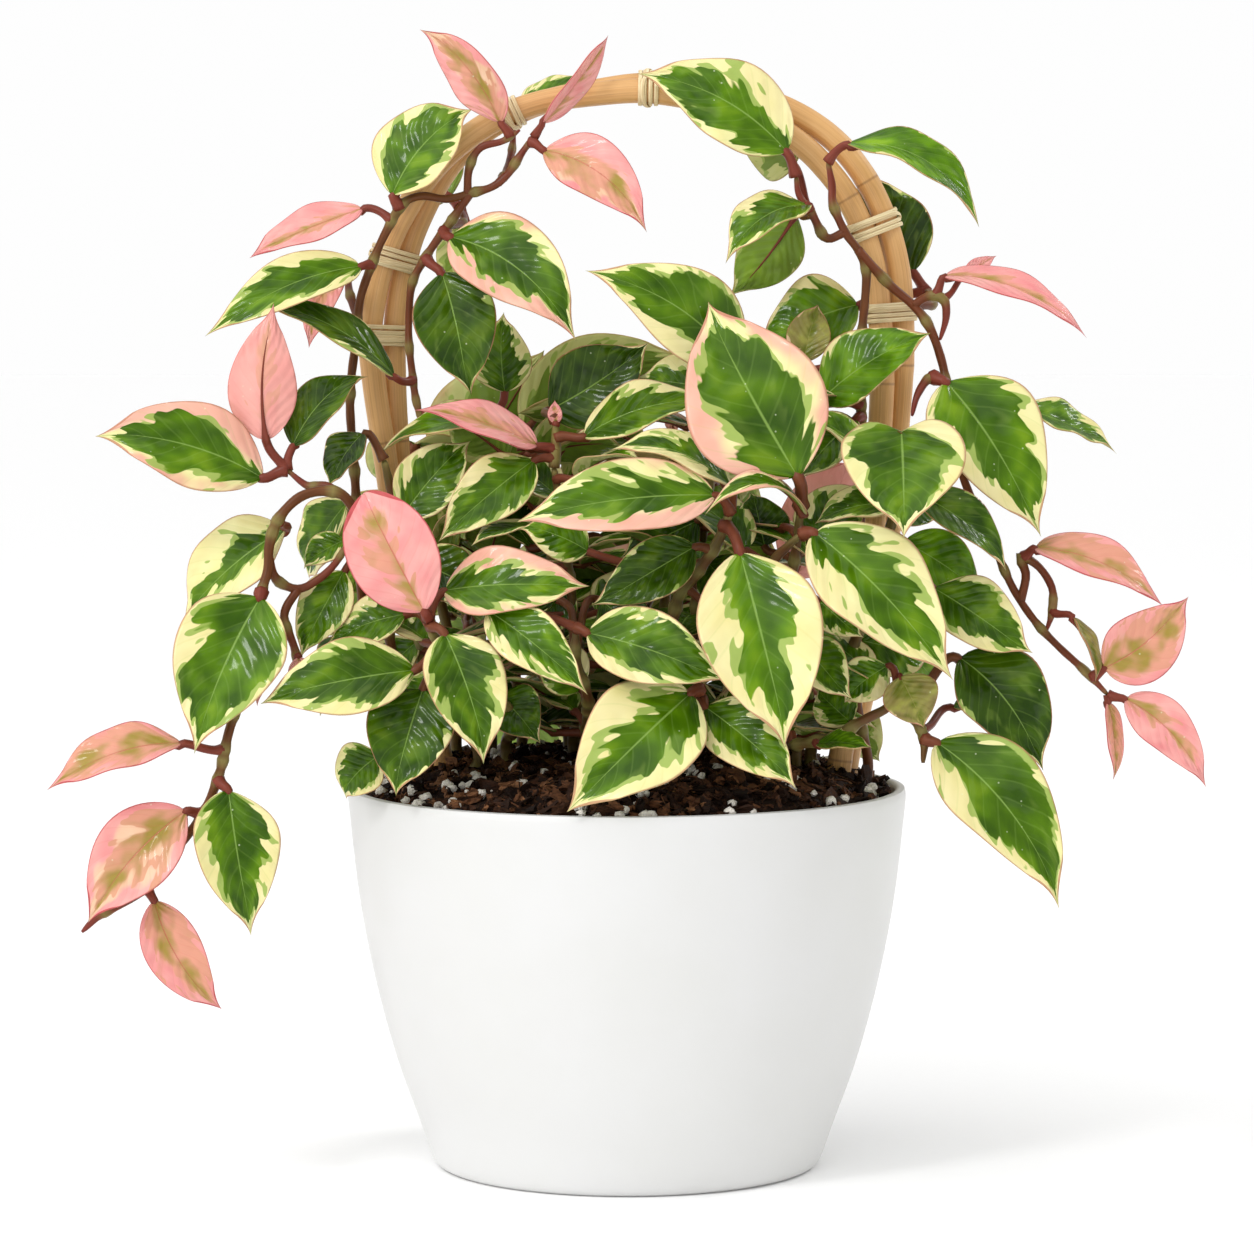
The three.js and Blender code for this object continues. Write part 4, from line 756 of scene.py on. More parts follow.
def inner_leaves(stem):
    """Small leaves in pairs up a bush stem, each pair square to the last, which fill the bush."""
    chance = random.Random(f"inner {stem.name}")
    curve = stem.curves[0]
    heading = chance.uniform(0, 2 * math.pi)
    leaves = []
    place = INNER_START
    while place < curve.length - INNER_END:
        for side in (0, math.pi):
            angle = heading + side + chance.gauss(0, 0.35)
            way = Vector((math.cos(angle), math.sin(angle), chance.uniform(0, 0.7))).normalized()
            base = curve.at(place / curve.length) + way * chance.uniform(*INNER_STALKS)
            length = chance.uniform(*INNER_LENGTHS)
            droop = Vector((0, 0, -length * chance.uniform(0, 0.45)))
            tip = base + way * length + droop
            facing = Vector((way.x * 0.5, way.y * 0.5 - 0.2, 1))
            look = chance.choice(INNER_LOOKS)
            width = length * chance.uniform(*INNER_WIDTHS)
            arch = chance.uniform(*INNER_ARCHES)
            leaf = Leaf(base, tip, width, facing, arch, 0, look, chance)
            if has_room(leaf):
                leaves.append(leaf)
        heading += math.pi / 2
        place += chance.uniform(*INNER_GAPS)
    return leaves


def has_room(leaf):
    """Whether a leaf stays in the bush: off the soil, the pot and the canes."""
    for share in (0.3, 0.65, 1):
        at = Vector(leaf.midrib(np.array(share))[0])
        out = math.hypot(at.x, at.y)
        floor = POT_HEIGHT + ROOM_OVER_POT
        if out < LIP_RADIUS - ROOM_INSIDE_LIP:
            floor = soil_top(at.x, at.y) + ROOM_OVER_SOIL
        if at.z < floor or out > INNER_REACH or at.y < INNER_FRONT:
            return False
        if CANE_TREE.find(at)[2] < leaf.width / 2 + CANE_RADIUS:
            return False
    return True


def vertex_tree(name):
    """A CAD node's vertices in mm, for finding the nearest one."""
    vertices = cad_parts[name].data.vertices
    tree = kdtree.KDTree(len(vertices))
    for vertex in vertices:
        tree.insert(vertex.co / MM, vertex.index)
    tree.balance()
    return tree


def placed_leaf(stem, row, look, tree, number):
    """The leaf at whichever of its steps has its tip and widest places in the CAD node."""
    best = None
    for step in LEAF_STEPS:
        leaf = table_leaf(stem, row, step, look, number)
        tip_away = tree.find(leaf.tip)[2]
        if tip_away > TIP_TOLERANCE:
            continue
        away = tip_away + edge_distance(leaf, stem, tree)
        if best is None or away < best[0]:
            best = (away, leaf)
    return best and best[1]


def edge_distance(leaf, stem, tree):
    """How far the CAD node's nearest vertices are from where this leaf's wide places would be."""
    is_plain = "turn" in stem or leaf.width < SMALL_WIDTH
    share, width = PLAIN_STATION if is_plain else WIDE_STATION
    at, run = leaf.midrib(share)
    side = leaf.across(run)
    half = width * leaf.width / 2
    lift = np.cross(side, run) * half * math.sin(BLADE_FOLD)
    aside = side * half * math.cos(BLADE_FOLD)
    return sum(tree.find(at + lift + sign * aside)[2] for sign in (-1, 1))


STEMS_GROWN = []


def all_stems():
    """Every stem of the plant, worked out once."""
    if not STEMS_GROWN:
        rows = list(STEMS)
        fronts = {row["name"]: row for row in STEMS}
        for name, like, foot, turn, reach, height, count in BACK_SPRAYS:
            rows.append({
                **fronts[like], "name": name, "foot": foot, "turn": turn, "reach": reach,
                "height": height, "leaves": fronts[like]["leaves"][:count],
            })
        STEMS_GROWN.extend(Stem(row, number) for number, row in enumerate(rows))
    return STEMS_GROWN


def cane_tree():
    """The canes' middle points, for keeping leaves off them."""
    hoop = Hoop()
    tree = kdtree.KDTree(2 * CANE_PLACES)
    for i in range(CANE_PLACES):
        for number, centre in enumerate(hoop.frame(i / (CANE_PLACES - 1))[3]):
            tree.insert(centre, 2 * i + number)
    tree.balance()
    return tree


def hoop_curve():
    """The points of the hoop's middle line, from one foot in the soil to the other."""
    (left_x, left_y), (right_x, right_y) = HOOP_FEET
    heights = [SOIL_HEIGHT + rise for rise in HOOP_FOOT_RISES]
    left = [Vector((left_x, left_y, z)) for z in heights]
    right = [Vector((right_x, right_y, z)) for z in reversed(heights)]
    return left + [seen((px, py, 0)) for px, py in HOOP_ROUTE] + right


class Hoop:
    """The hoop's middle line, where the two canes lie beside it and how they twist."""

    def __init__(self):
        self.points = hoop_curve()

    def middle(self, t):
        """The point at a share of the line's knots, which is how the twist is spaced."""
        points = self.points
        place = t * (len(points) - 1)
        low = min(int(place), len(points) - 2)
        before = points[low - 1] if low > 0 else 2 * points[0] - points[1]
        last = len(points) - 1
        after = points[low + 2] if low + 2 <= last else 2 * points[last] - points[last - 1]
        return Curve.between(before, points[low], points[low + 1], after, place - low)

    def frame(self, t):
        """Directions along, outwards and back at a share of the knots, and both canes' middles."""
        step = 0.0005
        ahead = self.middle(min(1, t + step))
        along = (ahead - self.middle(max(0, t - step))).normalized()
        back = Vector((0, 1, 0))
        outward = back.cross(along).normalized()
        place = t * (len(HOOP_TWIST) - 1)
        low = min(int(place), len(HOOP_TWIST) - 2)
        turn = HOOP_TWIST[low] + (HOOP_TWIST[low + 1] - HOOP_TWIST[low]) * (place - low)
        angle = math.radians(turn)
        aside = outward * (CANE_OFFSET * math.cos(angle)) - back * (CANE_OFFSET * math.sin(angle))
        middle = self.middle(t)
        return along, outward, back, (middle + aside, middle - aside)

    def nearest(self, point):
        """The share of the knots at which the middle line comes nearest to a point."""
        shares = [i / HOOP_PLACES for i in range(HOOP_PLACES + 1)]
        return min(shares, key=lambda t: (self.middle(t) - point).length)


CANE_TREE = cane_tree()


# Modelling

def start_fresh():
    """Ends any edit and deselects everything, as every new primitive needs."""
    if bpy.context.mode != "OBJECT":
        bpy.ops.object.mode_set(mode="OBJECT")
    bpy.ops.object.select_all(action="DESELECT")


def start_edit(thing, action="SELECT"):
    """Opens a piece for editing with all or none of it selected."""
    start_fresh()
    thing.select_set(True)
    bpy.context.view_layer.objects.active = thing
    bpy.ops.object.mode_set(mode="EDIT")
    bpy.ops.mesh.select_all(action=action)


def end_edit():
    """Closes the piece that is being edited."""
    bpy.ops.object.mode_set(mode="OBJECT")


def close_up(thing, gap=0.000002):
    """Merges a piece's points that are within gap metres and turns its faces outwards."""
    start_edit(thing)
    bpy.ops.mesh.remove_doubles(threshold=gap)
    bpy.ops.mesh.normals_make_consistent(inside=False)
    end_edit()


def apply_modifier(thing, kind, **settings):
    """Adds a modifier with its settings and makes its result the piece's own mesh."""
    modifier = thing.modifiers.new(kind.title(), kind)
    for name, value in settings.items():
        setattr(modifier, name, value)
    bpy.context.view_layer.objects.active = thing
    bpy.ops.object.modifier_apply(modifier=modifier.name)


def finish_piece(thing, name, material, node):
    """Names a piece, gives it its material and puts it on the frame in place of a CAD node."""
    thing.name = name
    thing.data.name = name
    thing.data.materials.clear()
    thing.data.materials.append(material)
    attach(thing, "root")
    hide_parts(node)


class Pattern:
    """The points and faces of a shape that is modelled once and then formed many times."""

    def __init__(self, thing):
        mesh = thing.data
        flat = np.empty(len(mesh.vertices) * 3)
        mesh.vertices.foreach_get("co", flat)
        self.points = flat.reshape(-1, 3)
        self.faces = [tuple(face.vertices) for face in mesh.polygons]
        bpy.data.objects.remove(thing)


class Joined:
    """Formed copies of patterns that are gathered into one piece's mesh, with their marks."""

    def __init__(self):
        self.points = []
        self.faces = []
        self.marks = {}
        self.count = 0

    def add(self, points, faces, **marks):
        """Adds a shape with marks that are the same all over it or have a value for each point."""
        self.points.append(np.asarray(points))
        self.faces.extend(tuple(i + self.count for i in face) for face in faces)
        self.count += len(points)
        for name, mark in marks.items():
            values = np.asarray(mark, dtype=float)
            if len(values.shape) == 0 or len(values) != len(points):
                values = np.broadcast_to(values, (len(points), *values.shape))
            self.marks.setdefault(name, []).append(values)

    def piece(self, smooth):
        """The mesh object, in metres, with each mark as an attribute of its points."""
        mesh = bpy.data.meshes.new("piece")
        mesh.from_pydata(np.concatenate(self.points) * MM, [], self.faces)
        for name, parts in self.marks.items():
            values = np.concatenate(parts)
            width = 1 if values.ndim == 1 else values.shape[1]
            kind = {1: "FLOAT", 3: "FLOAT_VECTOR", 4: "FLOAT_COLOR"}[width]
            field = {1: "value", 3: "vector", 4: "color"}[width]
            attribute = mesh.attributes.new(name, kind, "POINT")
            attribute.data.foreach_set(field, values.astype(np.float32).ravel())
        mesh.polygons.foreach_set("use_smooth", [smooth] * len(mesh.polygons))
        mesh.update()
        thing = bpy.data.objects.new("piece", mesh)
        bpy.context.scene.collection.objects.link(thing)
        return thing

    def finish(self, name, material, slot, node, smooth=True):
        """Makes the piece, closes it up and puts it on the frame in place of a CAD node."""
        thing = self.piece(smooth)
        close_up(thing)
        finish_piece(thing, name, material, node)


SLEEVES = {}
# How many rings a tube may have: the fewest that give each ring RING_STEP mm or less are used
RING_COUNTS = (12, 24, 48, 96, 190, 320, 640)
RING_STEP = 1.9


def sleeve(sides, rings):
    """A closed round bar of radius 1 between z = 0 and 1, cut across into rings."""
    if (sides, rings) in SLEEVES:
        return SLEEVES[sides, rings]
    start_fresh()
    bpy.ops.mesh.primitive_cylinder_add(vertices=sides, radius=1, depth=1, end_fill_type="TRIFAN")
    bar = bpy.context.object
    cuts = rings
    while cuts > 1:
        part = 8 if cuts % 8 == 0 else next(n for n in (2, 3, 5, 7, cuts) if cuts % n == 0)
        start_edit(bar, "DESELECT")
        edit = bmesh.from_edit_mesh(bar.data)
        for edge in edit.edges:
            low, high = sorted(edge.verts, key=lambda v: v.co.z)
            edge.select = high.co.z - low.co.z > 0.0001
        bpy.ops.mesh.subdivide(number_cuts=part - 1)
        end_edit()
        cuts //= part
    pattern = Pattern(bar)
    pattern.points[:, 2] += 0.5
    SLEEVES[sides, rings] = pattern
    return pattern


def resampled(points, count):
    """The points of a line again, count steps apart evenly."""
    points = np.asarray([tuple(p) for p in points], dtype=float)
    runs = np.linalg.norm(np.diff(points, axis=0), axis=1)
    lengths = np.concatenate([[0], np.cumsum(runs)])
    places = np.linspace(0, lengths[-1], count + 1)
    return np.column_stack([np.interp(places, lengths, points[:, k]) for k in range(3)]), places


def carried_frames(points):
    """Directions across a line that turn as little as they can along it."""
    along = np.gradient(points, axis=0)
    along /= np.linalg.norm(along, axis=1)[:, None]
    start = np.cross(along[0], (0, 0, 1) if abs(along[0][2]) < 0.9 else (0, 1, 0))
    first = [start / np.linalg.norm(start)]
    for way in along[1:]:
        across = first[-1] - way * np.dot(first[-1], way)
        first.append(across / np.linalg.norm(across))
    first = np.array(first)
    return first, np.cross(along, first)


def add_tube(joined, line, radius, sides=8, **marks):
    """A round bar along a line; radius and marks may be functions of the length along it in mm."""
    rough = sum((Vector(b) - Vector(a)).length for a, b in zip(line, line[1:]))
    rings = next((n for n in RING_COUNTS if n * RING_STEP >= rough), RING_COUNTS[-1])
    pattern = sleeve(sides, rings)
    centres, lengths = resampled(line, rings)
    first, second = carried_frames(centres)
    ring = np.rint(pattern.points[:, 2] * rings).astype(int)
    around = pattern.points[:, :2]
    radii = np.array([radius(s) if callable(radius) else radius for s in lengths])
    offset = first[ring] * around[:, :1] + second[ring] * around[:, 1:]
    points = centres[ring] + offset * radii[ring][:, None]
    lie = np.column_stack([around * radii[ring][:, None], lengths[ring]])
    for name, mark in marks.items():
        if callable(mark):
            marks[name] = np.array([mark(s) for s in lengths])[ring]
    joined.add(points, pattern.faces, lie=lie, **marks)


# Materials

def linear(colour):
    """An sRGB colour in hex as the linear values that shaders use."""
    parts = [int(colour[i:i + 2], 16) / 255 for i in (1, 3, 5)]
    return (*[p / 12.92 if p <= 0.04045 else ((p + 0.055) / 1.055) ** 2.4 for p in parts], 1)


class Nodes:
    """The node tree of a material or world, with a short method for each kind of node."""

    def __init__(self, owner):
        owner.use_nodes = True
        owner.node_tree.nodes.clear()
        self.owner = owner

    def add(self, kind, *inputs, output=0, sockets=None, **settings):
        """Adds a node with its settings, its inputs as values or links, and returns one output."""
        tree = self.owner.node_tree
        made = tree.nodes.new("ShaderNode" + kind)
        for name, value in settings.items():
            setattr(made, name, value)
        for key, value in [*enumerate(inputs), *(sockets or {}).items()]:
            if isinstance(value, bpy.types.NodeSocket):
                tree.links.new(value, made.inputs[key])
            elif value is not None:
                made.inputs[key].default_value = value
        return made.outputs[output] if made.outputs else made

    def position(self):
        """The place on the piece, in metres."""
        return self.add("TexCoord", output="Object")

    def mark(self, name, output):
        """What the mesh's points carry under a name."""
        return self.add("Attribute", output=output, attribute_name=name)

    def parts(self, kind, value):
        """The three parts of a vector or a colour."""
        return self.add(kind, value).node.outputs[:3]

    def stretched(self, place, x, y, z):
        """A place whose three parts are scaled, each by its own factor."""
        return self.add("Mapping", place, sockets={"Scale": (x, y, z)})

    def noise(self, place, scale, detail):
        """Smooth random values from 0 to 1."""
        return self.add("TexNoise", place, output="Fac", sockets={"Scale": scale, "Detail": detail})

    def cells(self, place, scale):
        """How far a place is from the middle of the random cell that it lies in."""
        return self.add("TexVoronoi", place, output="Distance", sockets={"Scale": scale})

    def math(self, operation, *values):
        """Any other sum of values."""
        return self.add("Math", *values, operation=operation)

    def minus(self, value, other):
        """The difference of two values."""
        return self.math("SUBTRACT", value, other)

    def times(self, value, factor, more=None, clamped=False):
        """The product of two values, and more on top of it where it is given."""
        operation = "MULTIPLY" if more is None else "MULTIPLY_ADD"
        return self.add("Math", value, factor, more, operation=operation, use_clamp=clamped)

    def graded(self, value, start, end, low=0, high=1, kind="LINEAR"):
        """Goes from low to high while a value goes from start to end."""
        return self.add("MapRange", value, start, end, low, high, interpolation_type=kind)

    def smooth(self, value, start, end, low=0, high=1):
        """The same, eased at both ends."""
        return self.graded(value, start, end, low, high, "SMOOTHSTEP")

    def mix(self, share, first, second, **settings):
        """Two colours mixed by a share; a colour may be given in hex."""
        colours = [linear(c) if isinstance(c, str) else c for c in (first, second)]
        return self.add("MixRGB", share, *colours, **settings)

    def lit(self, colour, light):
        """A colour made lighter or darker by a factor."""
        return self.mix(1, colour, self.add("CombineXYZ", light, light, light),
                        blend_type="MULTIPLY")

    def ramp(self, value, *stops):
        """Colours at stops from 0 to 1, each [place, sRGB hex]."""
        colours = self.add("ValToRGB", value)
        elements = colours.node.color_ramp.elements
        while len(elements) < len(stops):
            elements.new(0.5)
        for element, (place, colour) in zip(elements, stops):
            element.position = place
            element.color = linear(colour)
        return colours

    def bump(self, height, strength, depth):
        """The surface's direction over a relief whose depth is in metres."""
        sockets = {"Strength": strength, "Distance": depth, "Height": height}
        return self.add("Bump", output="Normal", sockets=sockets)

    def surface(self, colour, roughness, normal, **others):
        """Shades the material and returns it."""
        shader = self.add("BsdfPrincipled", sockets={
            "Base Color": colour, "Roughness": roughness, "Normal": normal, **others,
        })
        self.add("OutputMaterial", shader)
        return self.owner


def new_material(name):
    """The node tree of a material that has no nodes yet."""
    return Nodes(bpy.data.materials.new(name))


def waxy_leaf():
    """Hoya leaf with its wax: green and cream under one gloss, so highlights break on the veins."""
    nodes = new_material("waxy_leaf")
    share, across, level = nodes.parts("SeparateXYZ", nodes.mark("leaf_place", "Vector"))
    look = nodes.mark("leaf_look", "Color")
    seed, young, blush = nodes.parts("SeparateColor", look)
    cover = look.node.outputs["Alpha"]
    aside = nodes.math("ABSOLUTE", across)
    hand = nodes.math("SIGN", across)

    # Side veins leave the midrib at a slant, so the pattern is drawn along slanted lines.
    slant = nodes.times(aside, -0.3, share)
    number = nodes.times(seed, 60)
    # A blade is about 0.3 times as wide from its midrib as it is long, so this keeps spots round.
    sideways = nodes.times(across, 0.3)
    lobe_place = nodes.add("CombineXYZ", slant, sideways, number)
    streak_place = nodes.add("CombineXYZ", slant, nodes.times(across, 0.12), number)
    broad = nodes.noise(lobe_place, 4.4, 1)
    teeth = nodes.noise(streak_place, 10, 1.2)
    patchy = nodes.noise(lobe_place, 9, 1)
    streaks = nodes.noise(streak_place, 22, 2)
    blotch = nodes.noise(nodes.add("CombineXYZ", share, sideways, number), 5, 1.5)

    # How far across the green reaches: it wanders, ends in blocky lobes and leans to one side.
    lean = nodes.math("SINE", nodes.times(number, 1.7))
    reach = nodes.times(nodes.times(lean, hand), 0.13, cover)
    wander = nodes.times(nodes.minus(broad, 0.5), 1.2, reach)
    toothed = nodes.times(nodes.minus(teeth, 0.5), 0.75, wander)
    # A pale rim is left all round, and the green ends before the tip.
    rim = nodes.times(cover, 0.34, nodes.times(streaks, 0.16, 0.55))
    toothed = nodes.math("MINIMUM", toothed, rim)
    tip_rim = nodes.smooth(share, 0.76, 0.98, 0, 0.7)
    inside = nodes.minus(nodes.minus(toothed, tip_rim), aside)
    # The boundary is sharp, but soft on a young leaf.
    blur = nodes.times(young, 0.24, 0.015)
    green_mask = nodes.smooth(inside, nodes.times(blur, -1), blur)
    # A band of paler green lies beside the green in places, and a few patches of it inside.
    haze = nodes.times(nodes.minus(patchy, 0.45), 1.4, inside)
    haze_mask = nodes.smooth(haze, -0.015, 0.025, 0, 0.9)
    inner_haze = nodes.smooth(patchy, 0.56, 0.72, 0, 0.16)
    inner_haze = nodes.times(inner_haze, nodes.smooth(aside, 0.12, 0.4))

    # Green, softly blotched, with very faint streaks along the veins, lighter on some leaves
    green_tone = nodes.times(streaks, 0.08, nodes.times(blotch, 0.92))
    greens = nodes.ramp(
        green_tone, (0.34, "#315202"), (0.48, "#446802"), (0.58, "#537a05"), (0.7, "#6d9012"),
    )
    greens = nodes.lit(greens, nodes.graded(seed, 0, 1, 0.4, 1.5))
    # A young leaf is olive by its midrib and tan to rose outwards.
    ripening = nodes.smooth(nodes.times(aside, 0.3, blotch), 0.4, 0.72)
    olive = nodes.mix(ripening, "#a08a3e", "#dd9a82")
    young_full = nodes.times(young, 1.6, clamped=True)
    deep = nodes.mix(young_full, greens, olive)
    pale_green = nodes.mix(young_full, "#93ad4e", "#d6977a")

    # Pale margin: cream, yellower towards the green, with a pink flush on some leaves
    cream = nodes.mix(blotch, "#f2e9b4", "#dedc88")
    pink = nodes.mix(blotch, "#f5beb2", "#de757b")
    flush_place = nodes.math("ADD", nodes.times(blotch, 0.9), nodes.times(aside, 0.6))
    sided = nodes.times(nodes.times(lean, hand), -0.22, flush_place)
    flush = nodes.times(nodes.smooth(sided, 0.67, 1), blush, young, clamped=True)
    colour = nodes.mix(haze_mask, nodes.mix(flush, cream, pink), pale_green)
    colour = nodes.mix(green_mask, colour, deep)
    colour = nodes.mix(nodes.times(inner_haze, green_mask), colour, pale_green)

    # A thin midrib and faint side veins, paler than the green beside them
    midrib = nodes.minus(nodes.graded(share, 0, 1, 0.022, 0.004), aside)
    midrib = nodes.smooth(midrib, -0.015, 0.012, 0, 0.6)
    midrib_colour = nodes.mix(young_full, "#92b357", "#c9605a")
    vein_count = nodes.times(nodes.times(broad, 0.1, slant), 9)
    vein = nodes.math("PINGPONG", vein_count, 0.5)
    colour = nodes.mix(nodes.smooth(vein, 0.02, 0.09, 0.1, 0), colour, midrib_colour)
    colour = nodes.mix(midrib, colour, midrib_colour)

    # A thin reddish line on the very edge, which covers the tip and is crimson on young leaves
    edge = nodes.minus(aside, nodes.graded(share, 0.78, 1, 0.965, 0.5))
    edge = nodes.smooth(edge, -0.01, 0.03, 0, 0.8)
    colour = nodes.mix(edge, colour, nodes.mix(young_full, "#bb7f62", "#b03036"))

    # A few tiny pale specks of wax, 0.5 mm wide
    cells = nodes.cells(nodes.position(), 420)
    chance = nodes.add("SeparateColor", cells.node.outputs["Color"])
    speck = nodes.graded(cells, 0.08, 0.15, 1, 0)
    speck = nodes.times(nodes.times(speck, nodes.math("GREATER_THAN", chance, 0.93)), 0.45)
    colour = nodes.mix(speck, colour, "#e4ecc8")

    # The underside is a lighter, yellower green, or tan on a young leaf, and is less glossy.
    under = nodes.math("LESS_THAN", level, 0)
    under_side = nodes.mix(young_full, "#8ea548", "#e3a092")
    colour = nodes.mix(under, colour, nodes.mix(0.5, colour, under_side))

    # The blade is quilted between its side veins, which breaks up what its wax mirrors.
    quilt = nodes.times(nodes.smooth(vein, 0, 0.5), 0.35)
    relief = nodes.times(midrib, -0.5, nodes.times(blotch, 2.6, quilt))
    normal = nodes.bump(relief, 0.6, 0.0008)
    roughness = nodes.graded(nodes.math("ADD", blotch, under), 0.3, 1.4, 0.3, 0.7)
    return nodes.surface(colour, roughness, normal, **{
        "IOR": 1.45, "Specular IOR Level": 0.08, "Coat Weight": 0.28, "Coat Roughness": 0.12,
        "Coat Normal": normal,
    })


def stem_bark():
    """Living stem bark: smooth brown skin over green wood, which shows at the swollen joints."""
    nodes = new_material("stem_bark")
    lie = nodes.mark("lie", "Vector")
    red, fresh, joint = nodes.parts("SeparateXYZ", nodes.mark("stem_look", "Vector"))
    # The grain runs along the stem: 1.5 mm wide across it and 12 mm long.
    grain = nodes.noise(nodes.stretched(lie, 0.7, 0.7, 0.09), 1, 2)
    patch = nodes.noise(lie, 0.12, 2)
    olive = nodes.mix(grain, "#3a3614", "#736f38")
    ochre = nodes.mix(grain, "#432c17", "#7c5833")
    wood = nodes.mix(nodes.graded(patch, 0.4, 0.62), olive, ochre)
    vine = nodes.mix(grain, "#40220f", "#774823")
    flushed = nodes.mix(grain, "#5f221a", "#904237")
    colour = nodes.mix(red, wood, vine)
    colour = nodes.mix(fresh, colour, flushed)
    colour = nodes.mix(joint, colour, nodes.mix(grain, "#6f6a34", "#9a9055"))
    normal = nodes.bump(grain, 0.4, 0.0005)
    roughness = nodes.graded(grain, 0.3, 0.7, 0.3, 0.46)
    return nodes.surface(colour, roughness, normal, **{"IOR": 1.45, "Specular IOR Level": 0.22})


def satin_glaze(colour):
    """Satin white glaze on fired clay: smooth, with a broad soft sheen and a faint orange peel."""
    nodes = new_material("satin_glaze")
    position = nodes.position()
    cloud = nodes.noise(position, 22, 3)
    tint = nodes.mix(nodes.graded(cloud, 0.35, 0.65), colour, "#d9d9d7")
    normal = nodes.bump(nodes.noise(position, 420, 2), 0.12, 0.0003)
    roughness = nodes.graded(cloud, 0.3, 0.7, 0.38, 0.46)
    return nodes.surface(tint, roughness, normal, **{"Coat Weight": 0.15, "Coat Roughness": 0.35})


def damp_peat():
    """Damp peat between the chips: nearly black, crumbly and dull."""
    nodes = new_material("damp_peat")
    position = nodes.position()
    # Crumbs 1.5 mm wide with dust between them
    crumbs = nodes.cells(position, 650)
    dust = nodes.noise(position, 900, 4)
    mixed = nodes.times(crumbs, dust)
    colour = nodes.ramp(mixed, (0.05, "#120a07"), (0.3, "#27170e"), (0.5, "#3f2819"))
    normal = nodes.bump(mixed, 1, 0.0015)
    roughness = nodes.graded(dust, 0.3, 0.7, 0.75, 0.95)
    return nodes.surface(colour, roughness, normal, **{"IOR": 1.4, "Specular IOR Level": 0.2})


def pine_bark():
    """Composted pine bark: flaky red-brown chips, darker where damp, dull with a little sheen."""
    nodes = new_material("pine_bark")
    position = nodes.position()
    chip = nodes.mark("chip", "Fac")
    # Flakes 0.7 mm thick, drawn by a stretched noise that each chip has its own part of
    own_part = nodes.add("CombineXYZ", chip, chip, chip)
    shifted = nodes.add("VectorMath", position, own_part, operation="ADD")
    flakes = nodes.noise(nodes.stretched(shifted, 900, 900, 2400), 0.6, 4)
    base = nodes.ramp(
        nodes.math("FRACT", nodes.times(chip, 37)), (0, "#1a0f09"), (0.4, "#301c11"),
        (0.65, "#472b1a"), (0.88, "#6b452c"), (1, "#8c6242"),
    )
    colour = nodes.lit(base, nodes.graded(flakes, 0.3, 0.7, 0.45, 1.35))
    normal = nodes.bump(flakes, 0.8, 0.0008)
    roughness = nodes.graded(flakes, 0.3, 0.7, 0.55, 0.9)
    return nodes.surface(colour, roughness, normal, **{"IOR": 1.45, "Specular IOR Level": 0.2})


def perlite_grain():
    """Expanded perlite: white foamed glass, matt, with pits and a little brown dust in them."""
    nodes = new_material("perlite_grain")
    position = nodes.position()
    # Pits 0.6 mm apart
    pits = nodes.cells(position, 1800)
    dust = nodes.noise(position, 260, 4)
    stain = nodes.smooth(dust, 0.54, 0.7, 0, 0.6)
    colour = nodes.mix(stain, nodes.mix(pits, "#eee6da", "#fffbf3"), "#8d7760")
    normal = nodes.bump(pits, 0.8, 0.0005)
    return nodes.surface(colour, nodes.graded(dust, 0.3, 0.7, 0.8, 0.95), normal)


def peeled_rattan(colour):
    """Peeled rattan cane: long fine fibres, tan, satin from handling, browner at its joints."""
    nodes = new_material("peeled_rattan")
    lie = nodes.mark("lie", "Vector")
    along = nodes.add("SeparateXYZ", lie, output="Z")
    # Fibres 0.5 mm wide and some 40 mm long
    fibres = nodes.noise(nodes.stretched(lie, 2.2, 2.2, 0.025), 1, 5)
    bands = nodes.noise(lie, 0.055, 2)
    tone = nodes.ramp(
        nodes.times(fibres, 0.7, nodes.times(bands, 0.3)), (0.36, "#ba864c"), (0.47, "#d29f62"),
        (0.56, "#ddac6e"), (0.68, "#e6bb84"),
    )
    tinted = nodes.mix(0.4, tone, colour)
    # A joint of the cane every JOINT_PITCH mm
    joint = nodes.math("PINGPONG", nodes.times(along, 1 / JOINT_PITCH), 0.5)
    joint = nodes.smooth(joint, 0, 0.012, 0.5, 0)
    tinted = nodes.mix(joint, tinted, "#7b4d29")
    normal = nodes.bump(nodes.times(joint, 0.8, fibres), 0.3, 0.0004)
    return nodes.surface(tinted, nodes.graded(fibres, 0.3, 0.7, 0.34, 0.55), normal)


def raffia(colour):
    """Raffia peel: flat pale palm fibre strip, dull, with fine lines along it."""
    nodes = new_material("raffia")
    lie = nodes.mark("lie", "Vector")
    # Lines 0.3 mm apart and some 12 mm long
    lines = nodes.noise(nodes.stretched(lie, 3.5, 3.5, 0.08), 1, 3)
    tone = nodes.mix(lines, "#c9a468", colour)
    tone = nodes.mix(nodes.graded(lines, 0.42, 0.58), tone, colour)
    normal = nodes.bump(lines, 0.5, 0.0004)
    return nodes.surface(tone, nodes.graded(lines, 0.3, 0.7, 0.55, 0.75), normal, IOR=1.45)


def studio_paper(colour):
    """White paper sweep: matt, with a tooth too fine to see that keeps it from mirroring."""
    nodes = new_material("studio_paper")
    tooth = nodes.noise(nodes.position(), 300, 2)
    tint = nodes.mix(tooth, colour, "#fdfdfd")
    normal = nodes.bump(tooth, 0.05, 0.0002)
    return nodes.surface(tint, 0.9, normal, **{"Specular IOR Level": 0.2})


# Pot and soil

class PotSettings(bpy.types.PropertyGroup):
    sides: bpy.props.IntProperty(
        name="Sides", description="Steps that the pot's wall is spun in", default=144, min=24,
    )
    glaze: bpy.props.FloatVectorProperty(
        name="Glaze", description="Colour of the pot's glaze", subtype="COLOR", size=4,
        default=linear("#dbdbda"),
    )


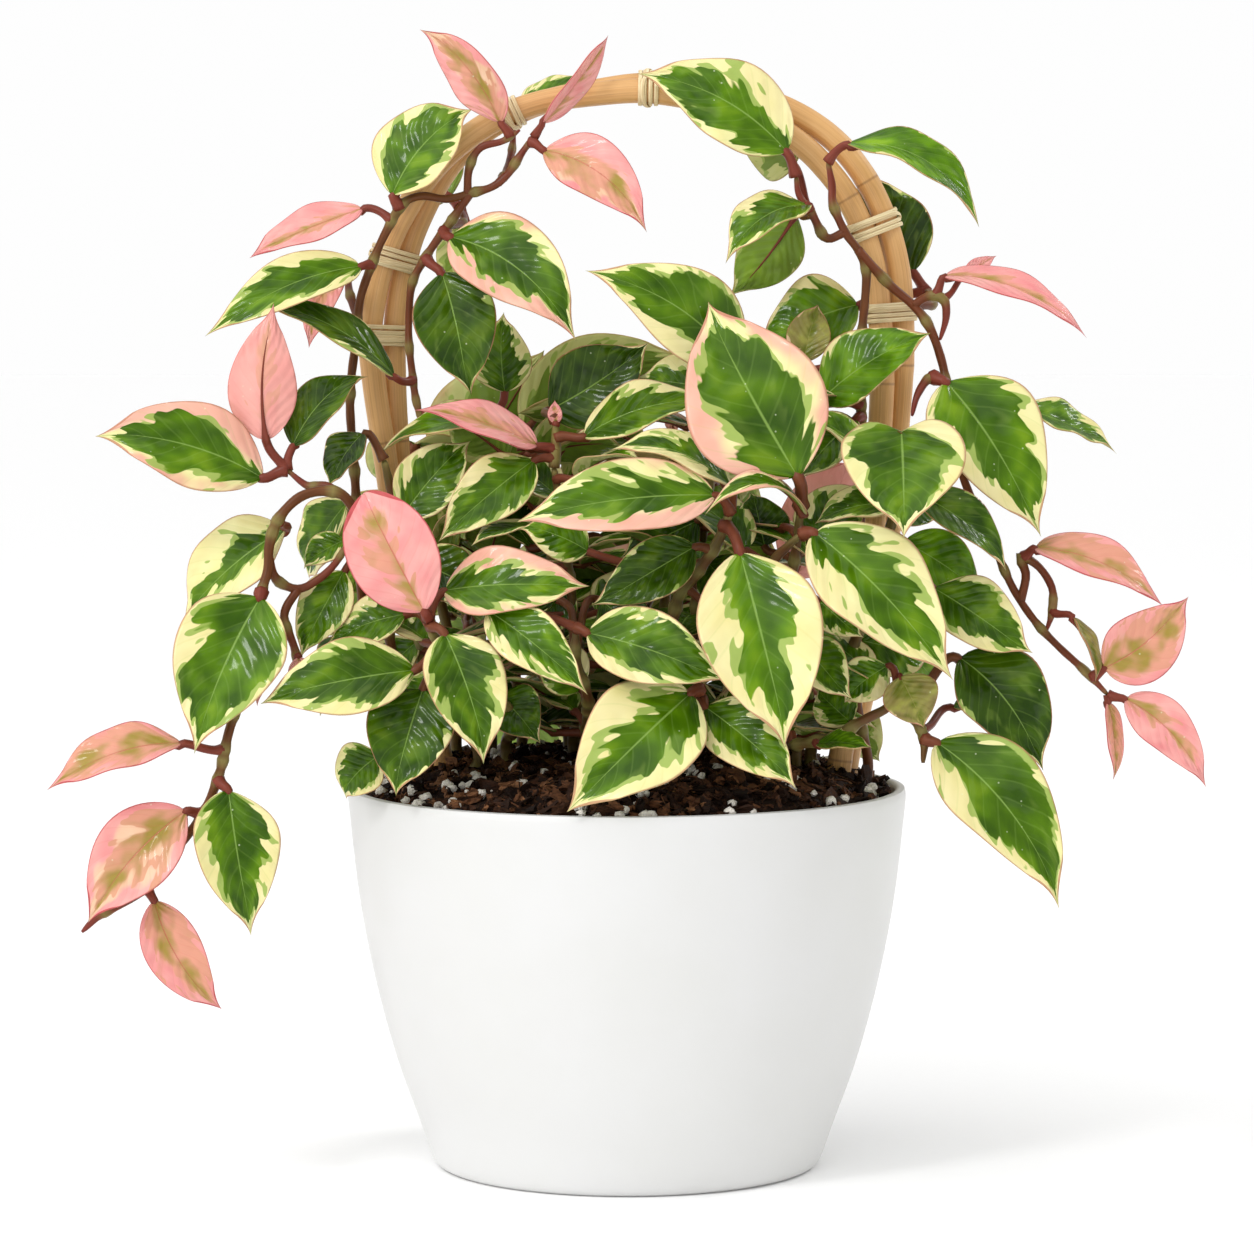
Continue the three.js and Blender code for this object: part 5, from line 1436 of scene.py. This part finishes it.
def pot_profile():
    """Half of the pot's section as [radius, height] in mm, from the axis under it to the floor."""
    outline = [Vector((r, 0, z)) for r, z in POT_OUTLINE]
    crown_inset, crown_drop = LIP_CROWN
    lip = [
        Vector((LIP_RADIUS, 0, POT_HEIGHT - crown_drop)),
        Vector((LIP_RADIUS - crown_inset, 0, POT_HEIGHT)),
        Vector((LIP_RADIUS - LIP_WIDTH, 0, POT_HEIGHT - crown_drop)),
    ]
    inner = [Vector((r - POT_WALL, 0, z)) for r, z in reversed(POT_OUTLINE[2:])]
    wall = Curve(outline + lip + inner, POT_STEP)
    floor = [Vector((POT_FLOOR_RADIUS, 0, POT_FLOOR)), Vector((0, 0, POT_FLOOR))]
    foot = [Vector((0, 0, 0)), Vector((POT_FOOT_RADIUS, 0, 0))]
    return [*foot, *map(Vector, wall.points), *floor]


class WAXPLANT_OT_pot(bpy.types.Operator):
    """Spins the pot's section round its axis"""

    bl_idname = "wax_plant.pot"
    bl_label = "Pot"

    def execute(self, context):
        settings = context.scene.wax_plant_pot
        profile = pot_profile()
        mesh = bpy.data.meshes.new("pot")
        links = [(i, i + 1) for i in range(len(profile) - 1)]
        mesh.from_pydata([p * MM for p in profile], links, [])
        pot = bpy.data.objects.new("pot", mesh)
        context.scene.collection.objects.link(pot)
        start_edit(pot)
        bpy.ops.mesh.spin(
            steps=settings.sides, angle=2 * math.pi, center=(0, 0, 0), axis=(0, 0, 1),
        )
        end_edit()
        close_up(pot, POT_GAP)
        bpy.ops.object.shade_smooth_by_angle(angle=CREASE_ANGLE)
        finish_piece(pot, "glazed_pot", satin_glaze(settings.glaze), "pot")
        return {"FINISHED"}


class SoilSettings(bpy.types.PropertyGroup):
    chips: bpy.props.IntProperty(
        name="Bark chips", description="Chips of bark that lie on the soil", default=2400, min=0,
    )
    chip_length: bpy.props.FloatProperty(
        name="Chip length", description="Length of a middling chip", default=0.0036, unit="LENGTH",
    )
    grains: bpy.props.IntProperty(
        name="Perlite grains", description="White grains among the chips", default=330, min=0,
    )
    fibres: bpy.props.IntProperty(
        name="Fibres", description="Loose fibres among the chips", default=560, min=0,
    )


def soil_height(x, y):
    """Height of the soil with its clumps, in mm."""
    clump = SOIL_CLUMP * math.sin(x * SOIL_WAVES[0] + 1) * math.cos(y * SOIL_WAVES[1])
    rough = noise.fractal(Vector((x, y, 0)) * SOIL_GRAIN, 0.8, 2, 3)
    edge = max(0, min(1, (SOIL_REACH - math.hypot(x, y)) / SOIL_EDGE))
    return soil_top(x, y) + (clump + SOIL_ROUGHNESS * rough) * edge - SOIL_COVER


def soil_bed():
    """The peat: a closed body with a rough top that fills the pot's inside."""
    start_fresh()
    bpy.ops.mesh.primitive_grid_add(
        x_subdivisions=BED_CELLS, y_subdivisions=BED_CELLS, size=2,
    )
    bed = bpy.context.object
    for vertex in bed.data.vertices:
        u, v = vertex.co.x, vertex.co.y
        x = u * math.sqrt(1 - v * v / 2) * SOIL_REACH
        y = v * math.sqrt(1 - u * u / 2) * SOIL_REACH
        vertex.co = Vector((x, y, soil_height(x, y))) * MM
    # The rim goes down the pot's inner wall, ring by ring, and is closed at the bottom.
    rings = [(r - POT_WALL - SOIL_GAP, z) for r, z in POT_OUTLINE[2:] if z < SOIL_HEIGHT - 2]
    rings = [(POT_FLOOR_RADIUS - SOIL_GAP, POT_FLOOR + SOIL_GAP), *rings]
    start_edit(bed, "DESELECT")
    edit = bmesh.from_edit_mesh(bed.data)
    for edge in edit.edges:
        edge.select = edge.is_boundary
    radius, height = SOIL_REACH, soil_top(SOIL_REACH, 0) - SOIL_COVER
    for next_radius, next_height in reversed(rings):
        drop = (0, 0, (next_height - height) * MM)
        bpy.ops.mesh.extrude_edges_move(TRANSFORM_OT_translate={"value": drop})
        shrink = next_radius / radius
        bpy.ops.transform.resize(value=(shrink, shrink, 1))
        radius, height = next_radius, next_height
    bpy.ops.mesh.edge_face_add()
    end_edit()
    close_up(bed)
    bed.data.polygons.foreach_set("use_smooth", [True] * len(bed.data.polygons))
    return bed


def crumb_pattern(seed):
    """An angular chip, roughed out from a cube."""
    start_fresh()
    bpy.ops.mesh.primitive_cube_add(size=1)
    chip = bpy.context.object
    start_edit(chip)
    bpy.ops.mesh.subdivide(number_cuts=1)
    bpy.ops.transform.vertex_random(offset=CHIP_ROUGHNESS, uniform=1, seed=seed)
    end_edit()
    return Pattern(chip)


def grain_pattern(seed):
    """A knobbly grain of perlite."""
    start_fresh()
    bpy.ops.mesh.primitive_ico_sphere_add(subdivisions=2, radius=0.5)
    grain = bpy.context.object
    start_edit(grain)
    bpy.ops.transform.vertex_random(offset=GRAIN_ROUGHNESS, uniform=1, seed=seed)
    end_edit()
    return Pattern(grain)


def turned(chance, tilt):
    """A rotation with any heading and a limited tilt, as a matrix."""
    heading = Matrix.Rotation(chance.uniform(0, 2 * math.pi), 3, "Z")
    lean = Matrix.Rotation(chance.gauss(0, tilt), 3, "X")
    roll = Matrix.Rotation(chance.gauss(0, tilt), 3, "Y")
    return np.array(heading @ lean @ roll)


def strewn(chance, reach):
    """A place on the soil, as likely anywhere on it."""
    angle = chance.uniform(0, 2 * math.pi)
    radius = reach * math.sqrt(chance.random())
    return radius * math.cos(angle), radius * math.sin(angle)


def strew(count, patterns, size, tilt, bunch, seed):
    """Copies of the patterns that lie on the soil in bunches; size draws each one's size in mm."""
    chance = random.Random(seed)
    joined = Joined()
    for number in range(count):
        pattern = patterns[number % len(patterns)]
        sizes = np.array(size(chance))
        if number % bunch == 0:
            home = strewn(chance, SOIL_REACH)
        x, y = (centre + chance.gauss(0, BUNCH_SPREAD * (bunch > 1)) for centre in home)
        inwards = min(1, (SOIL_REACH - sizes[0] * 0.6) / max(1, math.hypot(x, y)))
        x, y = x * inwards, y * inwards
        middle = np.array((x, y, soil_height(x, y) + sizes[2] * STREWN_RISE))
        points = (pattern.points * sizes) @ turned(chance, tilt).T + middle
        joined.add(points, pattern.faces, chip=np.full(len(points), chance.random()))
    return joined


def husk_fibres(count):
    """Loose curved fibres that lie over the chips."""
    chance = random.Random(SEED + 2)
    joined = Joined()
    for _ in range(count):
        x, y = strewn(chance, SOIL_REACH - 8)
        heading = chance.uniform(0, 2 * math.pi)
        length = chance.uniform(*FIBRE_LENGTHS)
        bend = chance.uniform(*FIBRE_BENDS)
        line = []
        for step in range(FIBRE_STEPS + 1):
            rise = FIBRE_RISE + 0.5 * math.sin(step * 1.3)
            line.append(Vector((x, y, soil_height(x, y) + rise)))
            x += math.cos(heading) * length / FIBRE_STEPS
            y += math.sin(heading) * length / FIBRE_STEPS
            heading += bend * length
            if math.hypot(x, y) > SOIL_REACH - 1:
                break
        if len(line) < 4:
            continue
        radius = chance.uniform(*FIBRE_RADII)
        add_tube(joined, line, radius, sides=4, chip=chance.random())
    return joined


class WAXPLANT_OT_soil(bpy.types.Operator):
    """Fills the pot with peat and strews bark, perlite and fibres on it"""

    bl_idname = "wax_plant.soil"
    bl_label = "Soil"

    def execute(self, context):
        settings = context.scene.wax_plant_soil
        length = settings.chip_length / MM
        bed = soil_bed()
        finish_piece(bed, "peat_bed", damp_peat(), "soil")

        def chip_size(chance):
            long = length * chance.lognormvariate(0, CHIP_SCATTER)
            wide = long * chance.uniform(*CHIP_WIDTHS)
            return min(long, CHIP_LONGEST), wide, chance.uniform(*CHIP_THICKNESSES)

        def grain_size(chance):
            size = chance.uniform(*GRAIN_SIZES)
            wide = size * chance.uniform(*GRAIN_WIDTHS)
            return size, wide, size * chance.uniform(*GRAIN_HEIGHTS)

        crumbs = [crumb_pattern(n) for n in range(5)]
        chips = strew(settings.chips, crumbs, chip_size, CHIP_TILT, 1, SEED)
        chips.finish("bark_chips", pine_bark(), "soil", "soil", smooth=False)
        knobs = [grain_pattern(n) for n in range(4)]
        grains = strew(settings.grains, knobs, grain_size, GRAIN_TILT, BUNCH, SEED + 1)
        grains.finish("perlite_grains", perlite_grain(), "soil", "soil")
        fibres = husk_fibres(settings.fibres)
        fibres.finish("husk_fibres", pine_bark(), "soil", "soil")
        return {"FINISHED"}


# Hoop

class HoopSettings(bpy.types.PropertyGroup):
    cane: bpy.props.FloatVectorProperty(
        name="Cane", description="Colour of the bent canes", subtype="COLOR", size=4,
        default=linear("#dcaa6b"),
    )
    peel: bpy.props.FloatVectorProperty(
        name="Peel", description="Colour of the ties", subtype="COLOR", size=4,
        default=linear("#f5e5ba"),
    )
    turns: bpy.props.IntProperty(
        name="Turns", description="Turns of peel in each tie", default=4, min=2,
    )


class WAXPLANT_OT_canes(bpy.types.Operator):
    """Draws the hoop's two canes along their twisted lines"""

    bl_idname = "wax_plant.canes"
    bl_label = "Canes"

    def execute(self, context):
        material = peeled_rattan(context.scene.wax_plant_hoop.cane)
        hoop = Hoop()
        frames = [hoop.frame(i / CANE_RINGS) for i in range(CANE_RINGS + 1)]
        for which in (0, 1):
            line = [canes[which] for _, _, _, canes in frames]
            joined = Joined()

            def radius(length):
                # The cane swells a little at each joint and wanders in thickness between them.
                near = (length / JOINT_PITCH + 0.5) % 1 - 0.5
                swell = JOINT_SWELL * math.exp(-((near * JOINT_PITCH / JOINT_LENGTH) ** 2))
                wander = CANE_WANDER * math.sin(length * 0.09 + which * 2)
                return CANE_RADIUS + swell - CANE_THINNING + wander

            add_tube(joined, line, radius, sides=20)
            number = which + 1
            joined.finish(f"rattan_cane_{number}", material, "cane", f"cane_{number}")
        return {"FINISHED"}


def tie_turn(joined, pattern, frame_at, shift, slant, lift):
    """One flat turn of peel round both canes."""
    along, outward, back, canes = frame_at
    middle = (canes[0] + canes[1]) * 0.5
    points = []
    lie = []
    for x, y, z in pattern.points:
        angle = math.atan2(y, x)
        # The ring's section is 1 wide along the hoop and 1 deep, and is drawn out to a flat strip.
        deep = math.hypot(x, y) - 1
        way = outward * math.cos(angle) + back * math.sin(angle)
        aside = [centre - middle for centre in canes]
        outer = aside[0] if aside[0].dot(way) > aside[1].dot(way) else aside[1]
        outer = outer - along * outer.dot(along)
        rise = CANE_RADIUS + 0.25 + lift + (deep + 0.5) * PEEL_THICKNESS
        slide = shift + slant * math.sin(angle) + z * PEEL_WIDTH
        points.append(middle + outer + way * rise + along * slide)
        lie.append((z * PEEL_WIDTH, deep, angle * (CANE_RADIUS + 5)))
    joined.add(np.array([p[:] for p in points]), pattern.faces, lie=np.array(lie))


def peel_ring():
    """A ring whose section is a flat rounded bar, for a turn of peel."""
    start_fresh()
    bpy.ops.mesh.primitive_torus_add(
        major_segments=72, minor_segments=8, major_radius=1, minor_radius=0.5,
    )
    return Pattern(bpy.context.object)


class WAXPLANT_OT_ties(bpy.types.Operator):
    """Winds flat turns of peel round the canes, and one slanted turn that holds the others"""

    bl_idname = "wax_plant.ties"
    bl_label = "Ties"

    def execute(self, context):
        settings = context.scene.wax_plant_hoop
        material = raffia(settings.peel)
        hoop = Hoop()
        ring = peel_ring()
        chance = random.Random(SEED + 3)
        for name, (px, py) in TIES.items():
            frame_at = hoop.frame(hoop.nearest(seen((px, py, 0))))
            joined = Joined()
            pitch = (TIE_WIDTH - PEEL_WIDTH) / (settings.turns - 1)
            for turn in range(settings.turns):
                slip = chance.uniform(-TURN_SLIP, TURN_SLIP)
                shift = (turn - (settings.turns - 1) / 2) * pitch + slip
                slant = chance.uniform(-TURN_SLANT, TURN_SLANT)
                tie_turn(joined, ring, frame_at, shift, slant, chance.uniform(0, TURN_LIFT))
            # One turn crosses the others at a slant and holds them.
            tie_turn(joined, ring, frame_at, 0, TIE_WIDTH * HOLDING_SLANT, HOLDING_LIFT)
            joined.finish(f"raffia_{name}", material, "peel", name)
        return {"FINISHED"}


# Plant

class PlantSettings(bpy.types.PropertyGroup):
    blade_thickness: bpy.props.FloatProperty(
        name="Blade thickness", description="Thickness of a blade beside its midrib",
        default=0.0011, unit="LENGTH",
    )
    wave: bpy.props.FloatProperty(
        name="Edge wave", description="How far a blade's edge waves, as a share of its width",
        default=0.028, min=0,
    )


def blade_pattern(rows, columns):
    """A flat closed sheet with a point for each row and column of a blade."""
    start_fresh()
    bpy.ops.mesh.primitive_grid_add(x_subdivisions=rows, y_subdivisions=columns, size=2)
    sheet = bpy.context.object
    apply_modifier(sheet, "SOLIDIFY", thickness=1, offset=0)
    return Pattern(sheet)


def blade_width(share, leaf):
    """Share of the blade's full half width at shares of its length: ovate with a drawn-out tip."""
    low = leaf.shape[0]
    high = leaf.shape[1]
    peak = low / (low + high)
    most = peak ** low * (1 - peak) ** high
    drawn = 1 - leaf.draw * np.clip((share - (1 - TIP_SHARE)) / TIP_SHARE, 0, 1)
    return drawn * np.clip(share, 0, 1) ** low * np.clip(1 - share, 0, 1) ** high / most


def add_blade(joined, leaf, pattern, thickness, wave):
    """Forms one leaf's blade from the flat sheet."""
    u = (pattern.points[:, 0] + 1) / 2
    share = 0.62 * u + 0.38 * (0.5 - 0.5 * np.cos(math.pi * u))
    v = pattern.points[:, 1]
    across = 0.5 * v + 0.5 * np.sin(v * math.pi / 2)
    level = np.sign(pattern.points[:, 2])
    place = BLADE_START + (1 - BLADE_START) * share
    at, run = leaf.midrib(place)
    side = -leaf.across(run)
    out = np.cross(run, side)
    half = blade_width(share, leaf) * leaf.width / 2
    fold = BLADE_FOLD * leaf.fold
    ripple = np.sin(2 * math.pi * leaf.waves * share + leaf.phase + (across > 0) * 1.9)
    lift = half * math.sin(fold) * np.abs(across) ** 1.3
    lift = lift + wave * leaf.width * ripple * across ** 2 * np.minimum(1, half / 4)
    # The blade is sunk along its midrib on top, and thins to its edges and ends.
    groove = GROOVE_DEPTH * np.exp(-((across * half / GROOVE_WIDTH) ** 2)) * (level > 0)
    thinned = 1 - EDGE_THINNING * np.abs(across) ** 3
    thick = thickness * thinned * np.minimum(1, half / 2.5)
    rise = lift + level * thick / 2 - groove * np.minimum(1, half / 4)
    tip = np.clip((share - (1 - CURL_SHARE)) / CURL_SHARE, 0, 1) ** 2
    rise = rise + tip * leaf.curl
    sway = 4 * share * (1 - share) * leaf.sway + tip * leaf.hook
    aside = across * half * math.cos(fold) + sway
    lobe = share / HEART_PLACE * np.exp(1 - share / HEART_PLACE) * np.abs(across) ** 1.5
    back = leaf.heart * leaf.length * lobe
    points = at + side * aside[:, None] + out * rise[:, None] - run * back[:, None]
    look = (leaf.seed, leaf.young, leaf.blush, leaf.green)
    marks = np.column_stack([share, across, level])
    joined.add(points, pattern.faces, leaf_place=marks, leaf_look=np.tile(look, (len(points), 1)))


def add_stalk(joined, stem, leaf):
    """A leaf's stalk from its stem to the blade, and on under the blade as its midrib."""
    root, curve, share = nearest_on(stem.curves, leaf.base)
    neck_at, neck_run = leaf.midrib(np.array(RIB_RANGE[0]))
    neck = Vector(neck_at)
    reach = (neck - root).length
    leave = (neck - root).normalized() * 0.8 + curve.tangent(share) * 0.35
    handle = root + leave.normalized() * reach * 0.4
    arrive = neck - Vector(neck_run) * reach * 0.35
    line = []
    for i in range(STALK_STEPS):
        t = i / STALK_STEPS
        point = (
            root * (1 - t) ** 3 + handle * (3 * t * (1 - t) ** 2)
            + arrive * (3 * t * t * (1 - t)) + neck * t ** 3
        )
        line.append(point)
    full = STALK_RADIUS * (0.72 + leaf.width * 0.02)
    for place in np.linspace(*RIB_RANGE, RIB_STEPS):
        at, run = leaf.midrib(np.array(place))
        side = -leaf.across(run)
        out = np.cross(run, side)
        share_here = (place - BLADE_START) / (1 - BLADE_START)
        thin = rib_radius(full, share_here)
        sway = 4 * share_here * (1 - share_here) * leaf.sway
        line.append(Vector(at + side * sway - out * (0.25 + thin * 0.75)))
    stalk = line[:STALK_STEPS + 1]
    stalk_length = sum((b - a).length for a, b in zip(stalk, stalk[1:]))
    rib_length = leaf.length * (RIB_RANGE[1] - RIB_RANGE[0])

    def radius(length):
        if length < stalk_length:
            root_swell = 0.45 * math.exp(-((length / 2.5) ** 2))
            return full * (1 + root_swell)
        return rib_radius(full, RIB_RANGE[1] * (length - stalk_length) / rib_length)

    fresh = 0.85 if stem.is_vine or leaf.young > 0.3 else 0.3 + 0.6 * leaf.seed
    add_tube(joined, line, radius, sides=8, stem_look=(0.6, fresh, 0))


def rib_radius(full, share):
    """Radius of the midrib under a blade: it thins fast at first and is gone near the tip."""
    share = min(1, max(0, share))
    return full * (0.36 * (1 - share) + 0.64 * math.exp(-share * 14)) + 0.06


def add_stem(joined, stem):
    """A stem and its shoots, thicker at the joints that its leaves grow from and thin at the end."""
    roots = [nearest_on(stem.curves, leaf.base) for leaf in stem.leaves]
    for number, curve in enumerate(stem.curves):
        joints = [share * curve.length for _, own, share in roots if own is curve]
        thick = stem.radius * (1 if number == 0 else SHOOT_SHARE)
        chance = random.Random(f"{stem.name} {number}")
        place = chance.uniform(*STEM_JOINT_START)
        while place < curve.length:
            joints.append(place)
            place += chance.uniform(*STEM_JOINT_GAPS)
        red = 0.95 if stem.is_vine else 0.2
        fresh = 0.1 if number == 0 else 0.3

        def swell(length):
            away = min((abs(length - at) for at in joints), default=math.inf)
            return math.exp(-((away / STEM_JOINT_LENGTH) ** 2))

        def radius(length):
            end = max(0, min(1, (curve.length - length) / SHOOT_TIP))
            taper = (1.06 - 0.25 * length / curve.length) * (0.3 + 0.7 * math.sqrt(end))
            knobs = 0.03 * math.sin(length * 0.7 + number)
            return thick * (taper * (1 + STEM_JOINT_SWELL * swell(length)) + knobs * end)

        def look(length):
            growing = max(0, 1 - (curve.length - length) / FRESH_LENGTH) if stem.is_vine else 0
            return red, max(fresh, growing), 0.75 * swell(length)

        add_tube(joined, list(curve.points), radius, sides=10, stem_look=look)


class WAXPLANT_OT_stems(bpy.types.Operator):
    """Grows every stem with its shoots, joints and leaf stalks"""

    bl_idname = "wax_plant.stems"
    bl_label = "Stems"

    def execute(self, context):
        material = stem_bark()
        for stem in all_stems():
            joined = Joined()
            add_stem(joined, stem)
            for leaf in stem.leaves + stem.inner_leaves:
                add_stalk(joined, stem, leaf)
            joined.finish(f"{stem.name}_stem", material, "foliage", stem.name)
        return {"FINISHED"}


class WAXPLANT_OT_leaves(bpy.types.Operator):
    """Forms every stem's leaf blades"""

    bl_idname = "wax_plant.leaves"
    bl_label = "Leaves"

    def execute(self, context):
        settings = context.scene.wax_plant
        material = waxy_leaf()
        seen_blade = blade_pattern(*BLADE_GRID)
        inner_blade = blade_pattern(*INNER_BLADE_GRID)
        thickness = settings.blade_thickness / MM
        for stem in all_stems():
            joined = Joined()
            for leaf in stem.leaves:
                add_blade(joined, leaf, seen_blade, thickness, settings.wave)
            for leaf in stem.inner_leaves:
                add_blade(joined, leaf, inner_blade, thickness, settings.wave)
            joined.finish(f"{stem.name}_leaves", material, "foliage", stem.name)
        return {"FINISHED"}


# Stage

class StageSettings(bpy.types.PropertyGroup):
    paper: bpy.props.FloatVectorProperty(
        name="Paper", description="Colour of the floor", subtype="COLOR", size=4,
        default=linear("#ffffff"),
    )
    lens: bpy.props.FloatProperty(
        name="Lens", description="Focal length in mm on a 36 mm sensor",
        default=VIEW_DISTANCE / PIXEL / VIEW_PIXELS * SENSOR_WIDTH,
    )


def add_lamp(name, kind, way, power, **settings):
    """A lamp of a kind that shines from the direction of way."""
    lamp = bpy.data.lights.new(name, kind)
    lamp.energy = power
    for setting, value in settings.items():
        setattr(lamp, setting, value)
    light = bpy.data.objects.new(name, lamp)
    bpy.context.scene.collection.objects.link(light)
    light.rotation_euler = (-Vector(way)).to_track_quat("-Z", "Y").to_euler()
    return light


def studio_world():
    """White walls round the stage under a dimmer ceiling, which leaves the gloss its contrast."""
    nodes = Nodes(bpy.data.worlds.new("studio"))
    way = nodes.add("TexCoord", output="Generated")
    height = nodes.add("SeparateXYZ", way, output="Z")
    light = nodes.smooth(height, *CEILING_RANGE, WALL_LIGHT, CEILING_LIGHT)
    nodes.add("OutputWorld", nodes.add("Background", linear("#ffffff"), light))
    return nodes.owner


class WAXPLANT_OT_stage(bpy.types.Operator):
    """Lays the paper floor and sets the lights and the camera"""

    bl_idname = "wax_plant.stage"
    bl_label = "Stage"

    def execute(self, context):
        settings = context.scene.wax_plant_stage
        start_fresh()
        bpy.ops.mesh.primitive_circle_add(vertices=64, radius=1, fill_type="NGON")
        floor = context.object
        start_edit(floor)
        bpy.ops.mesh.inset(thickness=0.4)
        bpy.ops.mesh.select_all(action="SELECT")
        bpy.ops.transform.resize(value=(FLOOR_RADIUS, FLOOR_RADIUS, 1))
        end_edit()
        floor.name = "floor"
        floor.data.materials.append(studio_paper(settings.paper))

        context.scene.world = studio_world()
        # The panel is a very soft sun, which falls evenly over the whole floor.
        add_lamp("sky_panel", "SUN", SUN_WAY, SUN_POWER, angle=math.radians(SUN_SPREAD))
        for name, place, width, power in LAMPS:
            way = Vector(place) - Vector(LAMP_AIM)
            light = add_lamp(name, "AREA", way, power, shape="SQUARE", size=width)
            light.location = place

        lens = bpy.data.cameras.new("camera")
        lens.lens = settings.lens
        lens.sensor_width = SENSOR_WIDTH
        camera = bpy.data.objects.new("camera", lens)
        context.scene.collection.objects.link(camera)
        height = VIEW_HEIGHT + VIEW_DISTANCE * math.sin(VIEW_PITCH)
        camera.location = Vector((0, -VIEW_DISTANCE * math.cos(VIEW_PITCH), height)) * MM
        camera.rotation_euler = (math.pi / 2 - VIEW_PITCH, 0, 0)
        context.scene.camera = camera
        context.scene.view_settings.view_transform = "Standard"
        return {"FINISHED"}


# Add-on

SETTINGS = {
    "wax_plant_pot": PotSettings,
    "wax_plant_soil": SoilSettings,
    "wax_plant_hoop": HoopSettings,
    "wax_plant": PlantSettings,
    "wax_plant_stage": StageSettings,
}
OPERATORS = [
    WAXPLANT_OT_pot,
    WAXPLANT_OT_soil,
    WAXPLANT_OT_canes,
    WAXPLANT_OT_ties,
    WAXPLANT_OT_stems,
    WAXPLANT_OT_leaves,
    WAXPLANT_OT_stage,
]


class WAXPLANT_PT_panel(bpy.types.Panel):
    """Sizes, colours and building steps of the wax plant"""

    bl_label = "Wax plant"
    bl_idname = "WAXPLANT_PT_panel"
    bl_space_type = "VIEW_3D"
    bl_region_type = "UI"
    bl_category = "Wax plant"

    def draw(self, context):
        """Lists every group's settings and then the building steps."""
        for name, group in SETTINGS.items():
            box = self.layout.box()
            for key in group.__annotations__:
                box.prop(getattr(context.scene, name), key)
        for operator in OPERATORS:
            self.layout.operator(operator.bl_idname)


def register():
    """Makes the settings, the building steps and the panel known."""
    for kind in (*SETTINGS.values(), *OPERATORS, WAXPLANT_PT_panel):
        bpy.utils.register_class(kind)
    for name, group in SETTINGS.items():
        setattr(bpy.types.Scene, name, bpy.props.PointerProperty(type=group))


def unregister():
    """Takes away what register adds."""
    for name in SETTINGS:
        delattr(bpy.types.Scene, name)
    for kind in (WAXPLANT_PT_panel, *reversed(OPERATORS), *reversed(SETTINGS.values())):
        bpy.utils.unregister_class(kind)


def main():
    """Builds every piece and the stage."""
    register()
    for operator in OPERATORS:
        group, name = operator.bl_idname.split(".")
        getattr(getattr(bpy.ops, group), name)()
    start_fresh()


if __name__ == "__main__":
    main()
